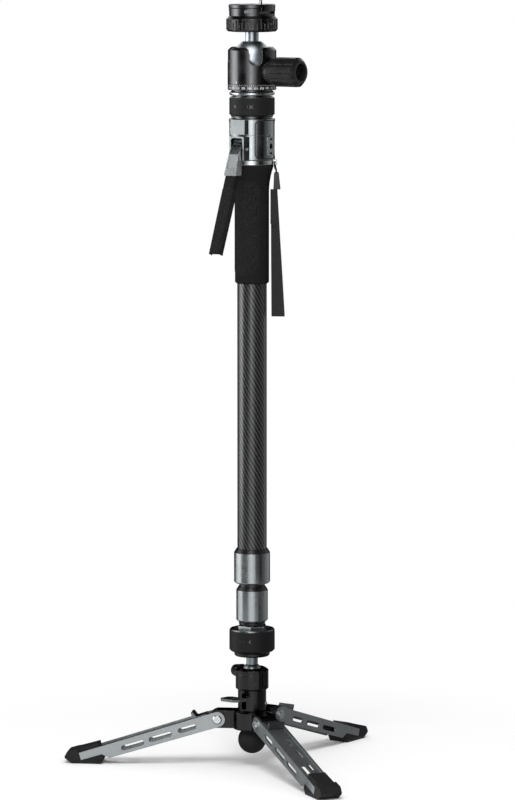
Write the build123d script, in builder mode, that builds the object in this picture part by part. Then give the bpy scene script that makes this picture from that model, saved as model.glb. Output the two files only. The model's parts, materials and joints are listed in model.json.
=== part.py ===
"""Camera monopod: three folding feet, a tilting base, a three-section column, a squeeze release and a ball head.

Millimetres, +Z up. The origin is on the floor, on the column's axis. The release lever and the pedal face -Y,
the ball head's lock knob and the accessory plate face +X.
"""
import os
from math import asin, cos, degrees, radians, sin, sqrt

from build123d import *

# Fits and cuts
overrun = 1.0  # how far a cut runs past the face it opens
running_gap = 0.05  # radial play of a shaft or a sliding fit
part_gap = 0.3  # space between faces that move past each other
edge_break = 0.5  # small chamfer on machined edges

# Folding feet
first_leg_azimuth = 90.0
leg_letters = "abc"
pivot_radius = 37.0
pivot_height = 52.0
leg_reach = 158.0  # pivot to the end of the channel
channel_end_height = 5.8  # height of the leg's axis at the channel's end
channel_width = 24.0
flange_thickness = 2.4
flange_end_radius = 8.3
flange_tip_rise = 6.3  # top edge above the leg's axis at the outer end
strip_drop = 2.0  # lower edge of the narrow end strip below the axis
strip_length = 24.0
strip_slant = 7.0
web_thickness = 2.0
web_recess = 1.4
web_start = 12.6
flange_slots = ((35.0, 21.0), (66.0, 26.5), (98.0, 26.5))  # distance out and length
flange_slot_height = 5.4
flange_slot_share = 0.019  # how far a slot lies under the axis, as a share of its distance out
web_slots = ((58.0, 2.6, 16.0), (83.0, 2.6, 16.0), (111.5, 3.4, 15.0), (119.0, -3.6, 25.0))  # out, across, length
web_slot_width = 5.2
bolt_radius = 2.5
bolt_head_radius = 5.0
bolt_head_height = 2.3
bolt_head_bevel = 1.0
bolt_socket_width = 3.0
bolt_socket_depth = 1.3

# Rubber boots
boot_side = 0.2  # how far the boot stands out past the channel's sides
sole_heel = 22.5  # how far the sole starts inside the channel's end
sole_length = 31.9
boot_nose_overhang = 18.3  # past the channel's end
boot_nose_height = 6.4
boot_top_overhang = 14.7
boot_top_height = 13.1
boot_pad_length = 23.5
boot_pad_height = 10.5  # above the leg's axis at the pad's inner end
boot_heel_rise = 6.8
boot_heel_run = 3.6
boot_edge = 1.2

# Leg locks
lock_plate_start = 10.4
lock_plate_length = 16.0
lock_plate_thickness = 2.2
lock_fin_length = 4.5
lock_fin_rise = 6.2
lock_travel = 2.5

# Hub and ball foot
hub_radius = 21.5
hub_bottom = 41.0
hub_edge = 1.5
tongue_radius = 9.7
hub_spigot_height = 1.6
foot_neck_radius = 11.6
foot_neck_blend = 3.0
foot_ball_radius = 15.3
foot_ball_lift = 13.4
foot_stud_radius = 5.0
foot_stud_length = 7.0

# Base column and pedal
column_radius = 15.5
column_bore = 9.5
base_column_height = 23.3
pedal_slot_width = 6.6
pedal_slot_height = 18.0
pedal_slot_lift = 2.0
pedal_slot_corner = 2.5
pedal_pivot_offset = 4.2  # how far the pedal's pin lies behind the column's axis
pedal_pivot_rise = 8.3  # above the hub's top
pedal_pin_radius = 2.0
pedal_pin_length = 31.6
pedal_arm_width = 5.6
pedal_arm_height = 4.2
pedal_eye_radius = 3.2
pedal_plate_inner = 24.0
pedal_plate_outer = 47.0
pedal_plate_rise = 14.3  # plate's lower face above the hub's top, at its inner end
pedal_plate_half_width = 12.5
pedal_plate_nose = 7.6
pedal_plate_heel = 9.0
pedal_plate_corner = 6.0
pedal_heel_corner = 3.0
pedal_plate_thickness = 2.8
pedal_plate_hole = 2.0
pedal_plate_slope = 3.0
pedal_neck_length = 6.0
plunger_radius = 4.5
plunger_lift = 0.4  # plunger's foot above the pedal's arm

# Base ball and head
base_head_radius = 18.0
base_head_height = 23.8
base_head_crown = 1.4
base_head_edge = 1.4
base_head_spigot = 2.5
base_ball_radius = 10.5
base_ball_sink = 4.8  # ball centre below the head's top
seat_wall = 2.2
seat_mouth_drop = 0.6
base_stem_radius = 6.3
base_stem_reach = 18.0  # ball centre to the pan flange
base_stud_radius = 4.0
base_stud_length = 10.0
clamp_azimuth = 160.0
clamp_drop = 7.8  # clamp screw's axis below the head's top
clamp_screw_radius = 2.4
clamp_knob_start = 18.9
clamp_knob_end = 33.5
clamp_knob_inner_radius = 8.5
clamp_knob_outer_radius = 6.3
clamp_knob_edge = 1.0
clamp_knob_flutes = 12
clamp_knob_flute_radius = 1.3
clamp_knob_flute_offset = 0.5
boss_azimuth = -20.0
head_boss_half_width = 5.6
head_boss_root_half_width = 8.6
head_boss_reach = 20.8
head_boss_root = 16.4
head_boss_foot = 2.6
head_boss_pocket_width = 5.4
head_boss_pocket_height = 10.5
head_boss_pocket_depth = 2.2
head_boss_pocket_drop = 11.5
head_boss_screw_radius = 2.0
head_boss_screw_drop = 3.6
head_boss_screw_depth = 0.8
head_slit_width = 0.5
head_slit_depth = 0.5
head_slit_drop = 6.8  # level slit below the head's top
head_slit_azimuth = -45.0

# Pan flange, lock ring and column foot
pan_flange_radius = 19.3
pan_flange_height = 5.0
pan_flange_edge = 1.2
pan_spigot_radius = 12.0
pan_spigot_height = 19.0
foot_ring_radius = 24.8
foot_ring_height = 24.6
foot_ring_edge = 2.0
foot_ring_lip = 2.8
foot_ring_dish = 2.6
column_foot_radius = 17.2
column_foot_height = 22.7
hex_width = 28.4
hex_height = 5.3
foot_plug_height = 25.0

# Column
upper_tube_radius = 16.0
upper_tube_wall = 1.5
middle_tube_radius = 14.0
middle_tube_wall = 1.4
lower_tube_radius = 12.0
lower_tube_wall = 1.3
top_room = 1.8  # between the middle tube's plug and the release housing
plug_room = 4.0  # between the two plugs, with the column pushed in
bare_tube_length = 289.6  # upper tube between its collar and the grip
collar_seat = 12.0  # how far a tube's end lies above its collar's lower face
collar_edge = 1.6
seal_lift = 0.6
seal_radius = 14.3
seal_height = 4.4
seal_edge = 1.0
lower_collar_radius = 17.25
lower_collar_height = 34.2
lower_cap_height = 3.9
lower_cap_radius = 14.9
collar_neck = 3.8
upper_collar_radius = 19.6
upper_collar_height = 33.6
upper_cap_height = 4.4
upper_cap_radius = 17.0
plug_height = 12.0
plug_spigot = 14.0
rod_half_width = 3.0
rod_play = 0.3
rod_lift = 11.0  # rod's end above the upper tube's lower end

# Grip and strap ring
grip_radius = 18.45
grip_length = 128.2
grip_flare_radius = 23.2
grip_flare_height = 30.0
grip_lip = 2.0
grip_edge = 1.5
strap_ring_radius = 23.6
strap_ring_height = 5.2
strap_azimuth = 30.0
strap_lug_radius = 26.9
strap_lug_width = 5.0
strap_eye_distance = 24.9
strap_eye_radius = 1.15

# Release housing
housing_radius = 24.9
housing_height = 43.9
housing_split = 26.65
housing_spigot = 20.0
housing_bore = 9.0
housing_groove = 0.35
window_half_width = 7.7
window_height = 20.6
window_lift = 3.2
window_corner = 2.5
window_depth = 17.0  # distance of the window's floor from the axis
window_chute = 22.6  # outside this distance the window is open below
boss_half_width = 9.5
boss_reach = 28.1
boss_root_half_width = 12.6
boss_root = 21.0
boss_gap = 1.2  # window boss's top below the seam
badge_half_width = 9.3
badge_reach = 26.5
badge_root_half_width = 11.8
badge_root = 21.5
badge_lift = 1.0
badge_top_drop = 0.6
panel_width = 36.4
panel_height = 42.0
panel_corner = 5.5
panel_depth = 0.5
slider_space = 7.5  # room above the seam for the slider

# Accessory plate
accessory_rise = 14.7  # centre above the housing's lower face
accessory_width = 12.4
accessory_length = 23.6
accessory_reach = 25.4
accessory_seat = 23.0
accessory_stub_radius = 4.6
accessory_stub_depth = 8.0
accessory_thread_radius = 3.175
accessory_thread_depth = 9.0
accessory_slot_length = 4.5
accessory_slot_width = 2.2
accessory_slot_offset = 7.6
accessory_slot_depth = 1.4

# Release lever
lever_pivot_reach = 24.5
lever_pivot_rise = 12.2  # above the housing's lower face
lever_pin_radius = 1.5
lever_pin_overhang = 1.2
lever_eye_radius = 4.4
lever_top_half_width = 6.4
lever_foot_half_width = 7.9
lever_foot_drop = 28.0  # bracket's lower end below the pivot
lever_foot_inner = 30.2
lever_foot_outer = 40.4
lever_shoulder_inner = 25.7
lever_shoulder_outer = 33.6
lever_shoulder_drop = 5.5
lever_panel_top = 1.8  # panel in the bracket's face: its ends along the face, below the shoulder
lever_panel_foot = 15.6
lever_panel_top_half_width = 4.3
lever_panel_foot_half_width = 5.9
lever_panel_depth = 0.6
lever_lip_line = 17.0
lever_lip_line_width = 0.7
lever_nose_reach = 5.0
lever_nose_height = 3.0
lever_nose_width = 5.0
nose_opening = 10.0
nose_opening_lift = 1.6
lever_arm_drop = 110.3
lever_arm_inner = 62.0
lever_arm_outer = 70.3
lever_arm_half_width = 6.8
lever_arm_edge = 1.6
lever_core_margin = 2.4
lever_core_half_width = 4.2
lever_core_length = 45.0
slider_radius = 8.95
slider_height = 26.0
slider_lift = 0.5
slider_slot_depth = 4.3
slider_play = 0.8

# Head locking ring and socket
socket_radius = 20.0
socket_gap = 1.2
socket_flange_radius = 22.4
socket_flange_height = 1.5
socket_spigot_radius = 13.0
socket_spigot_height = 8.0
lock_ring_radius = 24.5
lock_ring_height = 20.7
lock_ring_edge = 1.8
disc_gap = 1.2
disc_radius = 24.5
disc_height = 4.5
disc_edge = 1.6
scale_hub_height = 1.4
scale_hub_radius = 22.0
scale_radius = 26.25
scale_height = 6.0
pan_boss_radius = 12.0
pan_boss_height = 3.6

# Ball head
head_radius = 26.25
head_height = 39.5
head_shoulder = 3.2
head_floor = 5.2
head_throat = 17.2
ball_radius = 20.0
ball_rise = 28.3  # ball centre above the housing's lower face
ball_flat_radius = 9.9
ball_stem_radius = 7.15
ball_stem_length = 27.6  # ball centre to the clamp's lower face
ball_stud_radius = 5.0
ball_stud_length = 10.0
notch_azimuths = (-45, -135)
notch_half_width = 7.45
notch_depth = 19.5  # notch bottom below the housing's top
notch_flare = 2.4
knob_rise = 13.7  # knob axis above the housing's lower face
spindle_radius = 4.0
shoe_radius = 6.0
shoe_inner = 12.8
shoe_outer = 22.0
knob_boss_radius = 12.6
knob_boss_reach = 27.4
knob_neck_radius = 14.0
knob_neck_length = 5.6
knob_radius = 15.85
knob_end = 64.6
knob_bevel = 3.6
knob_edge = 1.0
knob_flutes = 12
knob_flute_radius = 2.2
knob_flute_offset = 1.2
knob_cup_radius = 9.6
knob_cup_depth = 9.0
knob_cup_taper = 1.2
knob_rim = 2.6

# Camera clamp
clamp_lip_radius = 22.0
clamp_lip_height = 1.6
clamp_hub_radius = 20.25
clamp_ring_lift = 0.4
clamp_ring_radius = 27.75
clamp_ring_height = 16.5
clamp_ring_top_radius = 24.5
clamp_ring_top_bevel = 3.2
clamp_ring_low_radius = 25.7
clamp_ring_low_bevel = 2.2
clamp_ring_flutes = 20  # open at the top, with as many between them that are open at the bottom
clamp_flute_width = 3.0
clamp_flute_depth = 0.8
clamp_flute_bar = 3.2  # height of the bar that closes a flute
clamp_deck_radius = 24.6
clamp_deck_height = 1.9
jaw_tenon_width = 9.0
jaw_tenon_inner = 16.0
jaw_tenon_length = 4.5
jaw_tenon_height = 1.3
jaw_travel = 1.6
latch_azimuth = -62.0
latch_width = 9.0
latch_inner = 21.6
latch_outer = 25.0
latch_height = 3.0
latch_lift = 1.2
latch_travel = 0.8
plate_radius = 25.15
plate_rim_height = 7.4
plate_wing_height = 3.9
plate_edge = 0.8
dovetail_foot_half_width = 14.6
dovetail_neck_half_width = 12.4
dovetail_foot_height = 1.0
dovetail_height = 3.1  # below the plate's rim
dovetail_half_length = 17.0
camera_thread_radius = 3.175
camera_neck_radius = 2.6
camera_neck_height = 1.0
camera_hole_radius = 4.0
camera_head_radius = 6.5
camera_head_height = 2.4
camera_slot_width = 1.4
camera_slot_depth = 1.0
camera_screw_lift = 0.2
camera_screw_travel = 5.0
twist_pin_radius = 2.0
twist_pin_offset = 11.2
twist_pin_rise = 4.6
twist_pin_bevel = 0.5
twist_collar_radius = 2.8
twist_collar_height = 1.5

# Wrist strap
cord_radius = 0.8
cord_tail = 2.0
cord_drop = 4.5  # the loop's wide part below the eye
cord_half_spread = 4.3
cord_eye_run = 0.3  # straight part of the cord past each side of the lug
cord_turn = 1.3
cord_tail_spread = 1.3
buckle_rise = 10.9  # buckle's top below the eye
buckle_height = 18.5
buckle_top_inner = 24.2
buckle_top_outer = 28.6
buckle_foot_inner = 23.4
buckle_foot_outer = 30.6
buckle_half_width = 3.1
buckle_edge = 0.8
webbing_length = 138.0
webbing_top_inner = 20.4
webbing_top_outer = 27.4
webbing_foot_inner = 21.2
webbing_foot_outer = 35.6
webbing_layer = 1.3
webbing_space = 0.5
webbing_fold = 3.0
webbing_corner = 1.0

# Heights, from the floor up
leg_azimuths = {
    letter: first_leg_azimuth + 360 * place / len(leg_letters) for place, letter in enumerate(leg_letters)
}
leg_slope = degrees(asin((pivot_height - channel_end_height) / leg_reach))
hub_top = pivot_height + tongue_radius
pedal_pivot_height = hub_top + pedal_pivot_rise
base_head_bottom = hub_top + base_column_height
base_head_top = base_head_bottom + base_head_height
base_ball_height = base_head_top - base_ball_sink
clamp_height = base_head_top - clamp_drop
pan_flange_bottom = base_ball_height + base_stem_reach
pan_flange_top = pan_flange_bottom + pan_flange_height
pan_spigot_top = pan_flange_top + pan_spigot_height
column_foot_bottom = pan_flange_top + part_gap
foot_ring_top = column_foot_bottom + foot_ring_height
hex_bottom = column_foot_bottom + column_foot_height
lower_tube_bottom = hex_bottom + hex_height
seal_bottom = lower_tube_bottom + seal_lift
lower_collar_bottom = seal_bottom + seal_height
lower_collar_top = lower_collar_bottom + lower_collar_height
lower_cap_top = lower_collar_top + lower_cap_height
middle_tube_bottom = lower_collar_bottom + collar_seat
upper_collar_bottom = lower_cap_top + collar_neck
upper_collar_top = upper_collar_bottom + upper_collar_height
upper_cap_top = upper_collar_top + upper_cap_height
upper_tube_bottom = upper_collar_bottom + collar_seat
grip_bottom = upper_cap_top + bare_tube_length
grip_top = grip_bottom + grip_length
strap_ring_bottom = grip_top + part_gap
strap_ring_top = strap_ring_bottom + strap_ring_height
strap_eye_height = strap_ring_bottom + strap_ring_height / 2
housing_bottom = strap_ring_top + part_gap
middle_tube_top = housing_bottom - housing_spigot - top_room - plug_height
lower_tube_top = middle_tube_top - plug_spigot - plug_room - plug_height
housing_seam = housing_bottom + housing_split
housing_top = housing_bottom + housing_height
lever_pivot_height = housing_bottom + lever_pivot_rise
accessory_height = housing_bottom + accessory_rise
slider_bottom = housing_bottom + slider_lift
socket_flange_bottom = housing_top + socket_gap
socket_flange_top = socket_flange_bottom + socket_flange_height
lock_ring_bottom = socket_flange_top + part_gap
lock_ring_top = lock_ring_bottom + lock_ring_height
disc_bottom = lock_ring_top + disc_gap
disc_top = disc_bottom + disc_height
scale_bottom = disc_top + scale_hub_height
scale_top = scale_bottom + scale_height
pan_boss_top = scale_top + pan_boss_height
head_bottom = scale_top + part_gap
head_top = head_bottom + head_height
ball_height = head_bottom + ball_rise
ball_flat_height = ball_height + sqrt(ball_radius**2 - ball_flat_radius**2)
knob_height = head_bottom + knob_rise
clamp_bottom = ball_height + ball_stem_length
clamp_ring_bottom = clamp_bottom + clamp_ring_lift
clamp_ring_top = clamp_ring_bottom + clamp_ring_height
clamp_deck_bottom = clamp_ring_top + part_gap
clamp_deck_top = clamp_deck_bottom + clamp_deck_height
dovetail_bottom = clamp_deck_top + running_gap
plate_rim_bottom = dovetail_bottom + dovetail_height
plate_top = plate_rim_bottom + plate_rim_height
plate_wing_bottom = plate_top - plate_wing_height
jaw_top = plate_wing_bottom - part_gap

# Sizes that follow from a neighbour's
leg_end_radius = pivot_radius + leg_reach * cos(radians(leg_slope))
sole_inner_radius = leg_end_radius - sole_heel
sole_outer_radius = sole_inner_radius + sole_length
boot_nose_radius = leg_end_radius + boot_nose_overhang
boot_top_radius = leg_end_radius + boot_top_overhang
upper_tube_bore = upper_tube_radius - upper_tube_wall
middle_tube_bore = middle_tube_radius - middle_tube_wall
lower_tube_bore = lower_tube_radius - lower_tube_wall
flange_inside = channel_width / 2 - flange_thickness
tongue_half_width = flange_inside - part_gap
seat_bore = base_ball_radius + running_gap
seat_radius = seat_bore + seat_wall
seat_cavity = seat_radius + running_gap
ball_socket = ball_radius + running_gap
rod_hole = rod_half_width / cos(radians(30)) + rod_play
knob_neck_start = knob_boss_reach + part_gap
knob_body_start = knob_neck_start + knob_neck_length


def turn(*outline, mode=Mode.ADD):
    """Turns a closed outline of (radius, height) points about the column's axis."""
    with BuildSketch(Plane.XZ) as profile:
        with BuildLine():
            Polyline(*outline, close=True)
        make_face()
    revolve(profile.sketch, axis=Axis.Z, mode=mode)


def ring(outer, inner, low, high, mode=Mode.ADD):
    """Makes a plain ring, or a disc where the inner radius is zero."""
    turn((inner, low), (outer, low), (outer, high), (inner, high), mode=mode)


def edged_ring(outer, inner, low, high, edge):
    """Makes a ring with both outer edges chamfered."""
    turn(
        (inner, low), (outer - edge, low), (outer, low + edge),
        (outer, high - edge), (outer - edge, high), (inner, high),
    )


def radial_plane(azimuth, height=0):
    """Gives the upright plane through the axis: local x points outwards at the azimuth, local y upwards."""
    out = (cos(radians(azimuth)), sin(radians(azimuth)), 0)
    return Plane(origin=(0, 0, height), x_dir=out, z_dir=(out[1], -out[0], 0))


def facing_plane(azimuth, distance, height):
    """Gives the plane at a distance along the azimuth that faces outwards, with local y upwards."""
    out = (cos(radians(azimuth)), sin(radians(azimuth)), 0)
    return Plane(origin=(distance * out[0], distance * out[1], height), x_dir=(-out[1], out[0], 0), z_dir=out)


def turn_level(azimuth, height, *outline, mode=Mode.ADD):
    """Turns a closed outline of (distance, radius) points about the level line at the azimuth and height."""
    plane = radial_plane(azimuth, height)
    with BuildSketch(plane) as profile:
        with BuildLine():
            Polyline(*outline, close=True)
        make_face()
    revolve(profile.sketch, axis=Axis(plane.origin, plane.x_dir), mode=mode)


def on_leg(radius, height):
    """Tells where a point at a radius and a height above the floor lies in a foot's side plane."""
    fall, run = sin(radians(leg_slope)), cos(radians(leg_slope))
    out, up = radius - pivot_radius, height - pivot_height
    return out * run - up * fall, out * fall + up * run


def flange_edge(distance):
    """Tells the height of a flange's top edge above the leg's axis, at a distance from the pivot."""
    return flange_end_radius + (flange_tip_rise - flange_end_radius) * distance / leg_reach


# One folding foot, drawn towards +X. Its planes start at the pivot and slope with the leg.
leg_fall, leg_run = sin(radians(leg_slope)), cos(radians(leg_slope))
leg_side = Plane(origin=(pivot_radius, 0, pivot_height), x_dir=(leg_run, 0, -leg_fall), z_dir=(0, -1, 0))
leg_top = Plane(origin=leg_side.origin, x_dir=leg_side.x_dir, z_dir=leg_side.y_dir)

with BuildPart() as leg_channel:
    with BuildSketch(leg_side):
        with BuildLine():
            Polyline(
                (0, flange_end_radius), (leg_reach, flange_tip_rise), (leg_reach, -strip_drop),
                (leg_reach - strip_length, -strip_drop),
                (leg_reach - strip_length - strip_slant, -flange_end_radius), (0, -flange_end_radius), close=True,
            )
        make_face()
        Circle(flange_end_radius)
    extrude(amount=channel_width / 2, both=True)
    # The space under the web, and the open end at the hub
    with BuildSketch(leg_side):
        with BuildLine():
            Polyline(
                (-flange_end_radius - overrun, -flange_end_radius - overrun),
                (leg_reach + overrun, -flange_end_radius - overrun),
                (leg_reach + overrun, flange_edge(leg_reach + overrun) - web_recess - web_thickness),
                (web_start, flange_edge(web_start) - web_recess - web_thickness),
                (web_start, flange_end_radius + overrun),
                (-flange_end_radius - overrun, flange_end_radius + overrun), close=True,
            )
        make_face()
    extrude(amount=flange_inside, both=True, mode=Mode.SUBTRACT)
    # The recess above the web
    with BuildSketch(leg_side):
        with BuildLine():
            Polyline(
                (web_start - overrun, flange_edge(web_start - overrun) - web_recess),
                (leg_reach + overrun, flange_edge(leg_reach + overrun) - web_recess),
                (leg_reach + overrun, flange_end_radius + overrun),
                (web_start - overrun, flange_end_radius + overrun), close=True,
            )
        make_face()
    extrude(amount=flange_inside, both=True, mode=Mode.SUBTRACT)
    # Slots and the bolt's holes through the flanges, then slots through the web
    with BuildSketch(leg_side):
        for distance, length in flange_slots:
            with Locations((distance, -distance * flange_slot_share)):
                SlotOverall(length, flange_slot_height)
        Circle(bolt_radius + running_gap)
    extrude(amount=channel_width, both=True, mode=Mode.SUBTRACT)
    with BuildSketch(leg_top):
        for distance, across, length in web_slots:
            with Locations((distance, across)):
                SlotOverall(length, web_slot_width)
    extrude(amount=flange_end_radius + overrun, mode=Mode.SUBTRACT)

boot_half_width = channel_width / 2 + boot_side
pad_start = leg_reach - boot_pad_length
with BuildPart() as boot_cheeks:
    # The room for the flanges, outside the boot's middle
    with BuildSketch(leg_side):
        with BuildLine():
            Polyline(
                (0, -strip_drop), (leg_reach, -strip_drop),
                (leg_reach, boot_pad_height + overrun), (0, boot_pad_height + overrun), close=True,
            )
        make_face()
    extrude(amount=boot_half_width + overrun, both=True)
    with BuildSketch(leg_side):
        with BuildLine():
            Polyline(
                (-overrun, -strip_drop - overrun), (leg_reach + overrun, -strip_drop - overrun),
                (leg_reach + overrun, boot_pad_height + 2 * overrun), (-overrun, boot_pad_height + 2 * overrun),
                close=True,
            )
        make_face()
    extrude(amount=flange_inside, both=True, mode=Mode.SUBTRACT)

with BuildPart() as leg_boot:
    with BuildSketch(leg_side):
        with BuildLine():
            Polyline(
                on_leg(sole_inner_radius, 0), on_leg(sole_outer_radius, 0),
                on_leg(boot_nose_radius, boot_nose_height), on_leg(boot_top_radius, boot_top_height),
                (pad_start, boot_pad_height), (pad_start, 0),
                on_leg(sole_inner_radius - boot_heel_run, boot_heel_rise), close=True,
            )
        make_face()
    extrude(amount=boot_half_width, both=True)
    chamfer(leg_boot.edges().filter_by(Axis.Y).sort_by(Axis.X)[-2:], length=boot_edge)
    add(boot_cheeks.part, mode=Mode.SUBTRACT)
    add(leg_channel.part, mode=Mode.SUBTRACT)

with BuildPart() as leg_lock:
    plate_end = lock_plate_start + lock_plate_length
    with BuildSketch(leg_side):
        with BuildLine():
            Polyline(
                (lock_plate_start, flange_edge(lock_plate_start) - web_recess + running_gap),
                (plate_end, flange_edge(plate_end) - web_recess + running_gap),
                (plate_end, flange_end_radius + lock_fin_rise),
                (plate_end - lock_fin_length / 2, flange_end_radius + lock_fin_rise),
                (plate_end - lock_fin_length, flange_edge(plate_end) - web_recess + lock_plate_thickness),
                (lock_plate_start, flange_edge(lock_plate_start) - web_recess + lock_plate_thickness), close=True,
            )
        make_face()
    extrude(amount=tongue_half_width, both=True)

with BuildPart() as bolt:
    head_start = channel_width / 2 + running_gap
    turn_level(
        -90, 0,
        (-head_start - bolt_head_height, 0), (-head_start - bolt_head_height, bolt_head_radius - bolt_head_bevel),
        (-head_start - bolt_head_height + bolt_head_bevel, bolt_head_radius), (-head_start, bolt_head_radius),
        (-head_start, bolt_radius), (head_start, bolt_radius), (head_start, bolt_head_radius),
        (head_start + bolt_head_height - bolt_head_bevel, bolt_head_radius),
        (head_start + bolt_head_height, bolt_head_radius - bolt_head_bevel), (head_start + bolt_head_height, 0),
    )
    for facing in (90, -90):
        with BuildSketch(facing_plane(facing, head_start + bolt_head_height - bolt_socket_depth, 0)):
            RegularPolygon(bolt_socket_width / 2, 6, major_radius=False)
        extrude(amount=bolt_socket_depth + overrun, mode=Mode.SUBTRACT)

with BuildPart() as leg_bolts:
    for azimuth in leg_azimuths.values():
        out = (pivot_radius * cos(radians(azimuth)), pivot_radius * sin(radians(azimuth)), pivot_height)
        with Locations(Location(out, (0, 0, azimuth))):
            add(bolt.part)

# Hub and ball foot
with BuildPart() as hub:
    edged_ring(hub_radius, 0, hub_bottom, hub_top, hub_edge)
    ring(column_bore - running_gap, 0, hub_top - overrun, hub_top + hub_spigot_height)
    for azimuth in leg_azimuths.values():
        with BuildSketch(radial_plane(azimuth, pivot_height)):
            with Locations((pivot_radius / 2, 0)):
                Rectangle(pivot_radius, 2 * tongue_radius)
            with Locations((pivot_radius, 0)):
                Circle(tongue_radius)
        extrude(amount=tongue_half_width, both=True)
    for azimuth in leg_azimuths.values():
        with BuildSketch(radial_plane(azimuth, pivot_height)):
            with Locations((pivot_radius, 0)):
                Circle(bolt_radius + running_gap)
        extrude(amount=channel_width, both=True, mode=Mode.SUBTRACT)
    ring(foot_stud_radius + running_gap, 0, hub_bottom - overrun, hub_bottom + foot_stud_length + part_gap,
         mode=Mode.SUBTRACT)

foot_ball_height = foot_ball_lift + foot_ball_radius
neck_joint_height = foot_ball_height + sqrt(foot_ball_radius**2 - foot_neck_radius**2)
with BuildPart() as ball_foot:
    with Locations((0, 0, foot_ball_height)):
        Sphere(foot_ball_radius)
    ring(foot_neck_radius, 0, foot_ball_height, hub_bottom)
    ring(foot_ball_radius, 0, hub_bottom, hub_bottom + foot_ball_radius, mode=Mode.SUBTRACT)
    fillet(
        ball_foot.edges().filter_by(GeomType.CIRCLE).filter_by(
            lambda edge: abs(edge.center().Z - neck_joint_height) < running_gap
        ),
        radius=foot_neck_blend / 2,
    )
    ring(foot_stud_radius, 0, hub_bottom, hub_bottom + foot_stud_length)

# Base column, with the pedal that pulls the brake plunger down
with BuildPart() as base_column:
    edged_ring(column_radius, column_bore, hub_top, base_head_bottom, edge_break)
    with BuildSketch(Plane.XZ):
        with Locations((0, hub_top + pedal_slot_lift + pedal_slot_height / 2)):
            RectangleRounded(pedal_slot_width, pedal_slot_height, pedal_slot_corner)
    extrude(amount=column_radius + overrun, mode=Mode.SUBTRACT)
    with BuildSketch(Plane.YZ):
        with Locations((pedal_pivot_offset, pedal_pivot_height)):
            Circle(pedal_pin_radius + running_gap)
    extrude(amount=column_radius + overrun, both=True, mode=Mode.SUBTRACT)

with BuildPart() as pedal_pin:
    with BuildSketch(Plane.YZ):
        with Locations((pedal_pivot_offset, pedal_pivot_height)):
            Circle(pedal_pin_radius)
    extrude(amount=pedal_pin_length / 2, both=True)

pedal_plate_height = hub_top + pedal_plate_rise
plate_fall, plate_run = sin(radians(pedal_plate_slope)), cos(radians(pedal_plate_slope))
with BuildPart() as pedal:
    with BuildSketch(Plane.YZ):
        with BuildLine():
            Polyline(
                (pedal_pivot_offset, pedal_pivot_height - pedal_arm_height / 2),
                (-pedal_plate_inner, pedal_plate_height - pedal_arm_height / 2),
                (-pedal_plate_inner - pedal_neck_length, pedal_plate_height),
                (-pedal_plate_inner - pedal_neck_length, pedal_plate_height + pedal_plate_thickness / 2),
                (-pedal_plate_inner, pedal_plate_height + pedal_plate_thickness / 2),
                (pedal_pivot_offset, pedal_pivot_height + pedal_arm_height / 2), close=True,
            )
        make_face()
        with Locations((pedal_pivot_offset, pedal_pivot_height)):
            Circle(pedal_eye_radius)
    extrude(amount=pedal_arm_width / 2, both=True)
    pedal_length = pedal_plate_outer - pedal_plate_inner
    pedal_top = Plane(
        origin=(0, -pedal_plate_inner, pedal_plate_height),
        x_dir=(0, -plate_run, plate_fall), z_dir=(0, plate_fall, plate_run),
    )
    with BuildSketch(pedal_top):
        with BuildLine():
            Polyline(
                (0, -pedal_plate_heel), (pedal_heel_corner, -pedal_plate_half_width),
                (pedal_length - pedal_plate_corner, -pedal_plate_half_width), (pedal_length, -pedal_plate_nose),
                (pedal_length, pedal_plate_nose), (pedal_length - pedal_plate_corner, pedal_plate_half_width),
                (pedal_heel_corner, pedal_plate_half_width), (0, pedal_plate_heel), close=True,
            )
        make_face()
    extrude(amount=pedal_plate_thickness)
    with BuildSketch(pedal_top):
        with Locations((pedal_length / 2, 0)):
            Circle(pedal_plate_hole)
    extrude(amount=pedal_plate_thickness + overrun, mode=Mode.SUBTRACT)
    with BuildSketch(Plane.YZ):
        with Locations((pedal_pivot_offset, pedal_pivot_height)):
            Circle(pedal_pin_radius + running_gap)
    extrude(amount=column_radius, both=True, mode=Mode.SUBTRACT)

pedal_arm_climb = (pedal_plate_height + pedal_plate_thickness / 2 - pedal_pivot_height - pedal_arm_height / 2)
arm_top_at_axis = (
    pedal_pivot_height + pedal_arm_height / 2
    + pedal_arm_climb * (pedal_pivot_offset + plunger_radius) / (pedal_pivot_offset + pedal_plate_inner)
)
plunger_bottom = max(arm_top_at_axis, pedal_pivot_height + pedal_eye_radius) + plunger_lift
plunger_top = base_ball_height - seat_radius - part_gap
with BuildPart() as brake_plunger:
    edged_ring(plunger_radius, 0, plunger_bottom, plunger_top, edge_break)

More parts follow.
